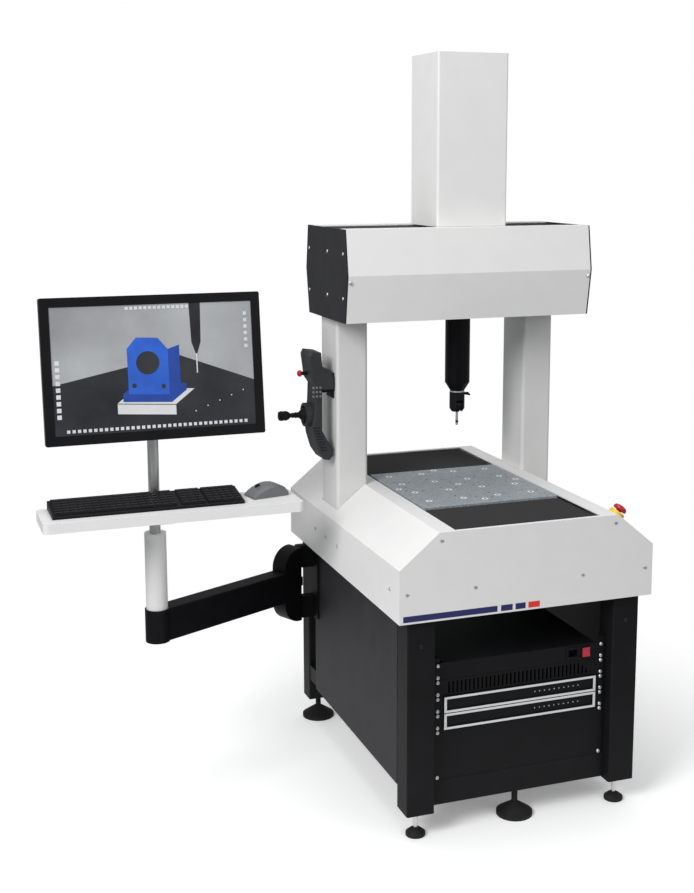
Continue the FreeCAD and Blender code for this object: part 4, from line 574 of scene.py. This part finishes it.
# Separate keys on the keyboard, in their three fields.
low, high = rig.box("keyboard")
bm = bmesh.new()
for start, end in ((7, 316), (330, 391), (398, 486)):
    columns = round((end - start) / 19)
    pitch = (end - start) * mm / columns
    for row in range(6):
        y = low[1] + 0.009 + row * 0.0163
        rise = 0.8255 + (row + 0.5) * 0.0023
        for column in range(columns):
            x = low[0] + start * mm + column * pitch
            add_block(
                bm,
                (x + 0.0016, y, rise - 0.004),
                (x + pitch - 0.0016, y + 0.0128, min(rise + 0.004, high[2] + 0.002)),
                0.0014,
            )
piece("keyboard_keys", bm, "key_cap", "tray", slot="key_black")

# Wheel on the mouse.
low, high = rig.box("mouse")
middle_y = (low[1] + high[1]) / 2
bm = bmesh.new()
add_turned(
    bm,
    [(0.006, -0.003), (0.0085, -0.002), (0.0085, 0.002), (0.006, 0.003)],
    (low[0] + 0.034, middle_y, high[2] - 0.0085),
    (0, 1, 0),
    24,
)
piece("mouse_wheel", bm, "key_black", "mouse")

# A smooth mushroom cap and joystick boot over the same places as their solids.
axis = Vector((0.63843, 0, 0.76968))
collar_low, collar_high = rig.box("stop_collar")
middle = Vector([(a + b) / 2 for a, b in zip(collar_low, collar_high)])
bm = bmesh.new()
add_turned(
    bm,
    [
        (0.0072, 0.002),
        (0.0072, 0.0135),
        (0.018, 0.0145),
        (0.0188, 0.019),
        (0.016, 0.0245),
        (0.009, 0.027),
        (0.002, 0.0276),
    ],
    middle,
    axis,
)
cap = piece("stop_cap", bm, "stop_red", "stop_mushroom", True, "stop_red")
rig.replaces(cap, "stop_button")
bm = bmesh.new()
outline = [(0.002, 0.008), (0.0158, 0.008), (0.0158, 0.0005), (0.021, 0.0005)]
for ring in range(6):
    share = ring / 6
    outline += [
        (0.0215 * math.cos(share * 1.35), 0.002 + 0.0225 * share),
        (0.0195 * math.cos(share * 1.35), 0.0035 + 0.0225 * share),
    ]
outline += [
    (0.0075, 0.027),
    (0.0085, 0.032),
    (0.0065, 0.036),
    (0.0075, 0.04),
    (0.0055, 0.046),
    (0.0105, 0.052),
    (0.0135, 0.059),
    (0.013, 0.067),
    (0.0138, 0.074),
    (0.0118, 0.0795),
    (0.0075, 0.0808),
    (0.002, 0.0809),
]
add_turned(bm, outline, (-0.4013, 0.523, 1.004), (-1, 0, 0))
boot = piece("joystick_boot", bm, "soft_black", "stick", True, "soft_black")
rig.replaces(boot, "joystick")

# Grip ribs and a three-by-three block of plain keys on the pendant.
low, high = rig.box("pendant_body")
bm = bmesh.new()
for step in range(9):
    height = 0.906 + step * 0.008
    start = low[0] + 0.013 + (0.975 - height) * 0.32
    add_block(
        bm,
        (start, low[1] - 0.0004, height),
        (start + 0.02, low[1] + 0.0012, height + 0.0035),
        0.0006,
    )
piece("pendant_ribs", bm, "soft_black", "pendant")
bm = bmesh.new()
for row in range(3):
    for column in range(3):
        at = (low[0] + 0.016 + column * 0.01, low[1], 1.06 + row * 0.012)
        add_turned(
            bm,
            [(0.0034, -0.0005), (0.0034, 0.0012), (0.0026, 0.0018), (0.001, 0.0018)],
            at,
            (0, -1, 0),
            20,
        )
piece("pendant_keys", bm, "mouse_shell", "pendant")

# Red cap on a black neck for the pendant's stop, and the dark band on the probe.
low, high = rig.box("pendant_stop")
at = (high[0], (low[1] + high[1]) / 2, (low[2] + high[2]) / 2)
bm = bmesh.new()
add_turned(
    bm,
    [(0.0086, 0.0372), (0.009, 0.039), (0.0082, 0.044), (0.006, 0.0464), (0.002, 0.047)],
    at,
    (-1, 0, 0),
)
cap = piece("pendant_stop_cap", bm, "stop_red", "pendant_button", True, "stop_red")
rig.replaces(cap, "pendant_stop")
bm = bmesh.new()
add_turned(bm, [(0.0052, 0.0), (0.0052, 0.0372), (0.0022, 0.0373)], at, (-1, 0, 0))
piece("pendant_stop_neck", bm, "soft_black", "pendant_button")
low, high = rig.box("probe")
middle = ((low[0] + high[0]) / 2, (low[1] + high[1]) / 2, low[2])
bm = bmesh.new()
add_turned(
    bm,
    [(0.0035, 0.0075), (0.0041, 0.008), (0.0041, 0.0135), (0.0035, 0.014)],
    middle,
    (0, 0, 1),
)
piece("probe_band", bm, "key_black", "knuckle", True)

# A plain picture on the screen: grey room, dark table, blue flange block on a pale base.


def flat(name, mat, corners, lift):
    """A thin flat shape on the screen, in screen axes from its middle."""
    bm = bmesh.new()
    face_points = [bm.verts.new(screen_point(x, z, lift)) for x, z in corners]
    bm.faces.new(face_points)
    return piece(name, bm, mat, "screen")


front_faces = [p for p in nodes["monitor"].data.polygons if p.area > 0.05 and p.normal.y < -0.8]
inner = min(front_faces, key=lambda p: p.area)
seen = [nodes["monitor"].data.vertices[i].co for p in front_faces for i in p.vertices]
span_x = [min(v.x for v in seen), max(v.x for v in seen)]
span_z = [min(v.z for v in seen), max(v.z for v in seen)]
normal = inner.normal.copy()
anchor = inner.center.copy()
across = Vector((1, 0, 0))
upward = across.cross(normal) * -1
if upward.z < 0:
    upward = -upward
centre = Vector(((span_x[0] + span_x[1]) / 2, anchor.y, (span_z[0] + span_z[1]) / 2))
centre -= normal * (centre - anchor).dot(normal)


def screen_point(x, z, lift):
    return centre + across * x + upward * z + normal * lift


W, H = 0.26, 0.1622
flat("view_wall", "view_grey", [(-W, -H), (W, -H), (W, H), (-W, H)], 0.0002)
flat(
    "view_table",
    "view_dark",
    [(-W, -H), (W, -H), (W, -0.045), (0.06, 0.03), (-W, -0.035)],
    0.0003,
)
flat(
    "view_base_front",
    "view_pale",
    [(-0.1, -0.115), (0.05, -0.125), (0.05, -0.1), (-0.1, -0.09)],
    0.0004,
)
flat(
    "view_base_top",
    "view_pale",
    [(-0.1, -0.088), (0.05, -0.098), (0.1, -0.06), (-0.05, -0.05)],
    0.0004,
)
flat(
    "view_flange_foot",
    "view_mid",
    [
        (-0.085, -0.085),
        (0.04, -0.092),
        (0.08, -0.062),
        (0.08, -0.045),
        (-0.05, -0.04),
        (-0.085, -0.065),
    ],
    0.0005,
)
flat(
    "view_flange_side",
    "view_mid",
    [(0.035, -0.07), (0.065, -0.05), (0.065, 0.055), (0.035, 0.045)],
    0.0006,
)
flat(
    "view_flange_face",
    "view_blue",
    [
        (-0.07, -0.066),
        (0.035, -0.072),
        (0.035, 0.045),
        (0.01, 0.075),
        (-0.045, 0.078),
        (-0.07, 0.05),
    ],
    0.0007,
)
for index, (x, z, reach) in enumerate(
    ((-0.018, 0.012, 0.03), (-0.055, -0.045, 0.006), (0.02, -0.05, 0.006)),
):
    ring = [
        (reach * math.cos(a * math.pi / 12) + x, reach * math.sin(a * math.pi / 12) + z)
        for a in range(24)
    ]
    flat("view_bore_%d" % index, "view_dark", ring, 0.0008)
flat(
    "view_stylus",
    "view_dark",
    [(0.095, 0.162), (0.125, 0.162), (0.122, 0.06), (0.112, 0.03), (0.108, 0.03), (0.098, 0.06)],
    0.0008,
)
flat(
    "view_stylus_rod",
    "view_pale",
    [(0.1085, 0.03), (0.1115, 0.03), (0.1115, -0.02), (0.1085, -0.02)],
    0.0008,
)


def icons(name, mat, starts, across_step, up_step, count, side):
    """A row or column of small plain tool squares."""
    bm = bmesh.new()
    for index in range(count):
        x, z = starts[0] + across_step * index, starts[1] + up_step * index
        corners = [(x, z), (x + side, z), (x + side, z + side), (x, z + side)]
        bm.faces.new([bm.verts.new(screen_point(a, b, 0.0009)) for a, b in corners])
    piece(name, bm, mat, "screen")


icons("view_icons_left", "view_pale", (-0.252, -0.12), 0, 0.017, 9, 0.011)
icons("view_icons_right", "view_pale", (0.238, 0.04), 0, 0.017, 6, 0.009)
icons("view_icons_top", "view_pale", (-0.07, 0.149), 0.012, 0, 14, 0.008)
icons("view_icons_foot", "view_pale", (-0.23, -0.156), 0.0135, 0, 35, 0.008)
icons("view_table_marks", "view_pale", (0.1, -0.12), 0.032, 0.012, 5, 0.003)

# Floor, lights and camera.
bm = bmesh.new()
bmesh.ops.create_grid(bm, x_segments=8, y_segments=8, size=14)
mats["floor"] = finish("floor", (0.9, 0.9, 0.9), 0.9, 0, 0.003)
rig.stage(piece("floor", bm, "floor", None))
tree = mats["floor"].node_tree
tree.nodes["Principled BSDF"].inputs["Emission Color"].default_value = (1, 1, 1, 1)
tree.nodes["Principled BSDF"].inputs["Emission Strength"].default_value = 0.2
coords = tree.nodes.new("ShaderNodeTexCoord")
shift = tree.nodes.new("ShaderNodeVectorMath")
shift.operation = "SUBTRACT"
shift.inputs[1].default_value = (-0.2, 0.4, 0)
reach = tree.nodes.new("ShaderNodeVectorMath")
reach.operation = "LENGTH"
fade = tree.nodes.new("ShaderNodeMapRange")
fade.interpolation_type = "SMOOTHSTEP"
fade.inputs["From Min"].default_value = 0.7
fade.inputs["From Max"].default_value = 1.5
clear = tree.nodes.new("ShaderNodeBsdfTransparent")
blended = tree.nodes.new("ShaderNodeMixShader")
tree.links.new(coords.outputs["Object"], shift.inputs[0])
tree.links.new(shift.outputs["Vector"], reach.inputs[0])
tree.links.new(reach.outputs["Value"], fade.inputs["Value"])
tree.links.new(fade.outputs["Result"], blended.inputs["Fac"])
tree.links.new(tree.nodes["Principled BSDF"].outputs["BSDF"], blended.inputs[1])
tree.links.new(clear.outputs["BSDF"], blended.inputs[2])
tree.links.new(blended.outputs["Shader"], tree.nodes["Material Output"].inputs["Surface"])


def lamp(name, place, target, size, watts):
    data = bpy.data.lights.new(name, "AREA")
    data.shape = "DISK"
    data.size = size
    data.energy = watts
    obj = bpy.data.objects.new(name, data)
    obj.location = place
    obj.rotation_euler = (Vector(target) - Vector(place)).to_track_quat("-Z", "Y").to_euler()
    bpy.context.scene.collection.objects.link(obj)


lamp("key", (-4.0, -2.2, 3.6), (0, 0.3, 0.9), 2.4, 222)
lamp("fill", (2.6, -4.2, 2.6), (0, 0.3, 0.9), 3.0, 36)
lamp("top", (0, 0.6, 4.6), (0, 0.4, 0.8), 3.4, 84)

world = bpy.data.worlds.new("studio")
bpy.context.scene.world = world
world.use_nodes = True
tree = world.node_tree
back = tree.nodes["Background"]
back.inputs["Color"].default_value = (0.9, 0.91, 0.93, 1)
back.inputs["Strength"].default_value = 0.4
white = tree.nodes.new("ShaderNodeBackground")
white.inputs["Color"].default_value = (1, 1, 1, 1)
white.inputs["Strength"].default_value = 1
path = tree.nodes.new("ShaderNodeLightPath")
mixed = tree.nodes.new("ShaderNodeMixShader")
tree.links.new(path.outputs["Is Camera Ray"], mixed.inputs["Fac"])
tree.links.new(back.outputs["Background"], mixed.inputs[1])
tree.links.new(white.outputs["Background"], mixed.inputs[2])
tree.links.new(mixed.outputs["Shader"], tree.nodes["World Output"].inputs["Surface"])
bpy.context.scene.view_settings.view_transform = "Standard"

data = bpy.data.cameras.new("camera")
data.lens = 54.25
data.shift_x = -0.0305
data.shift_y = -0.0638
data.clip_end = 60
camera = bpy.data.objects.new("camera", data)
camera.location = (-1.4937, -2.9865, 1.689)
camera.rotation_euler = (math.pi / 2 - 0.166, 0.0, -0.353)
bpy.context.scene.collection.objects.link(camera)
bpy.context.scene.camera = camera

with open("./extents.json", "w") as handle:
    json.dump({"cad": cad_box, "visual": [list(corner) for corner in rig.bounds()]}, handle)
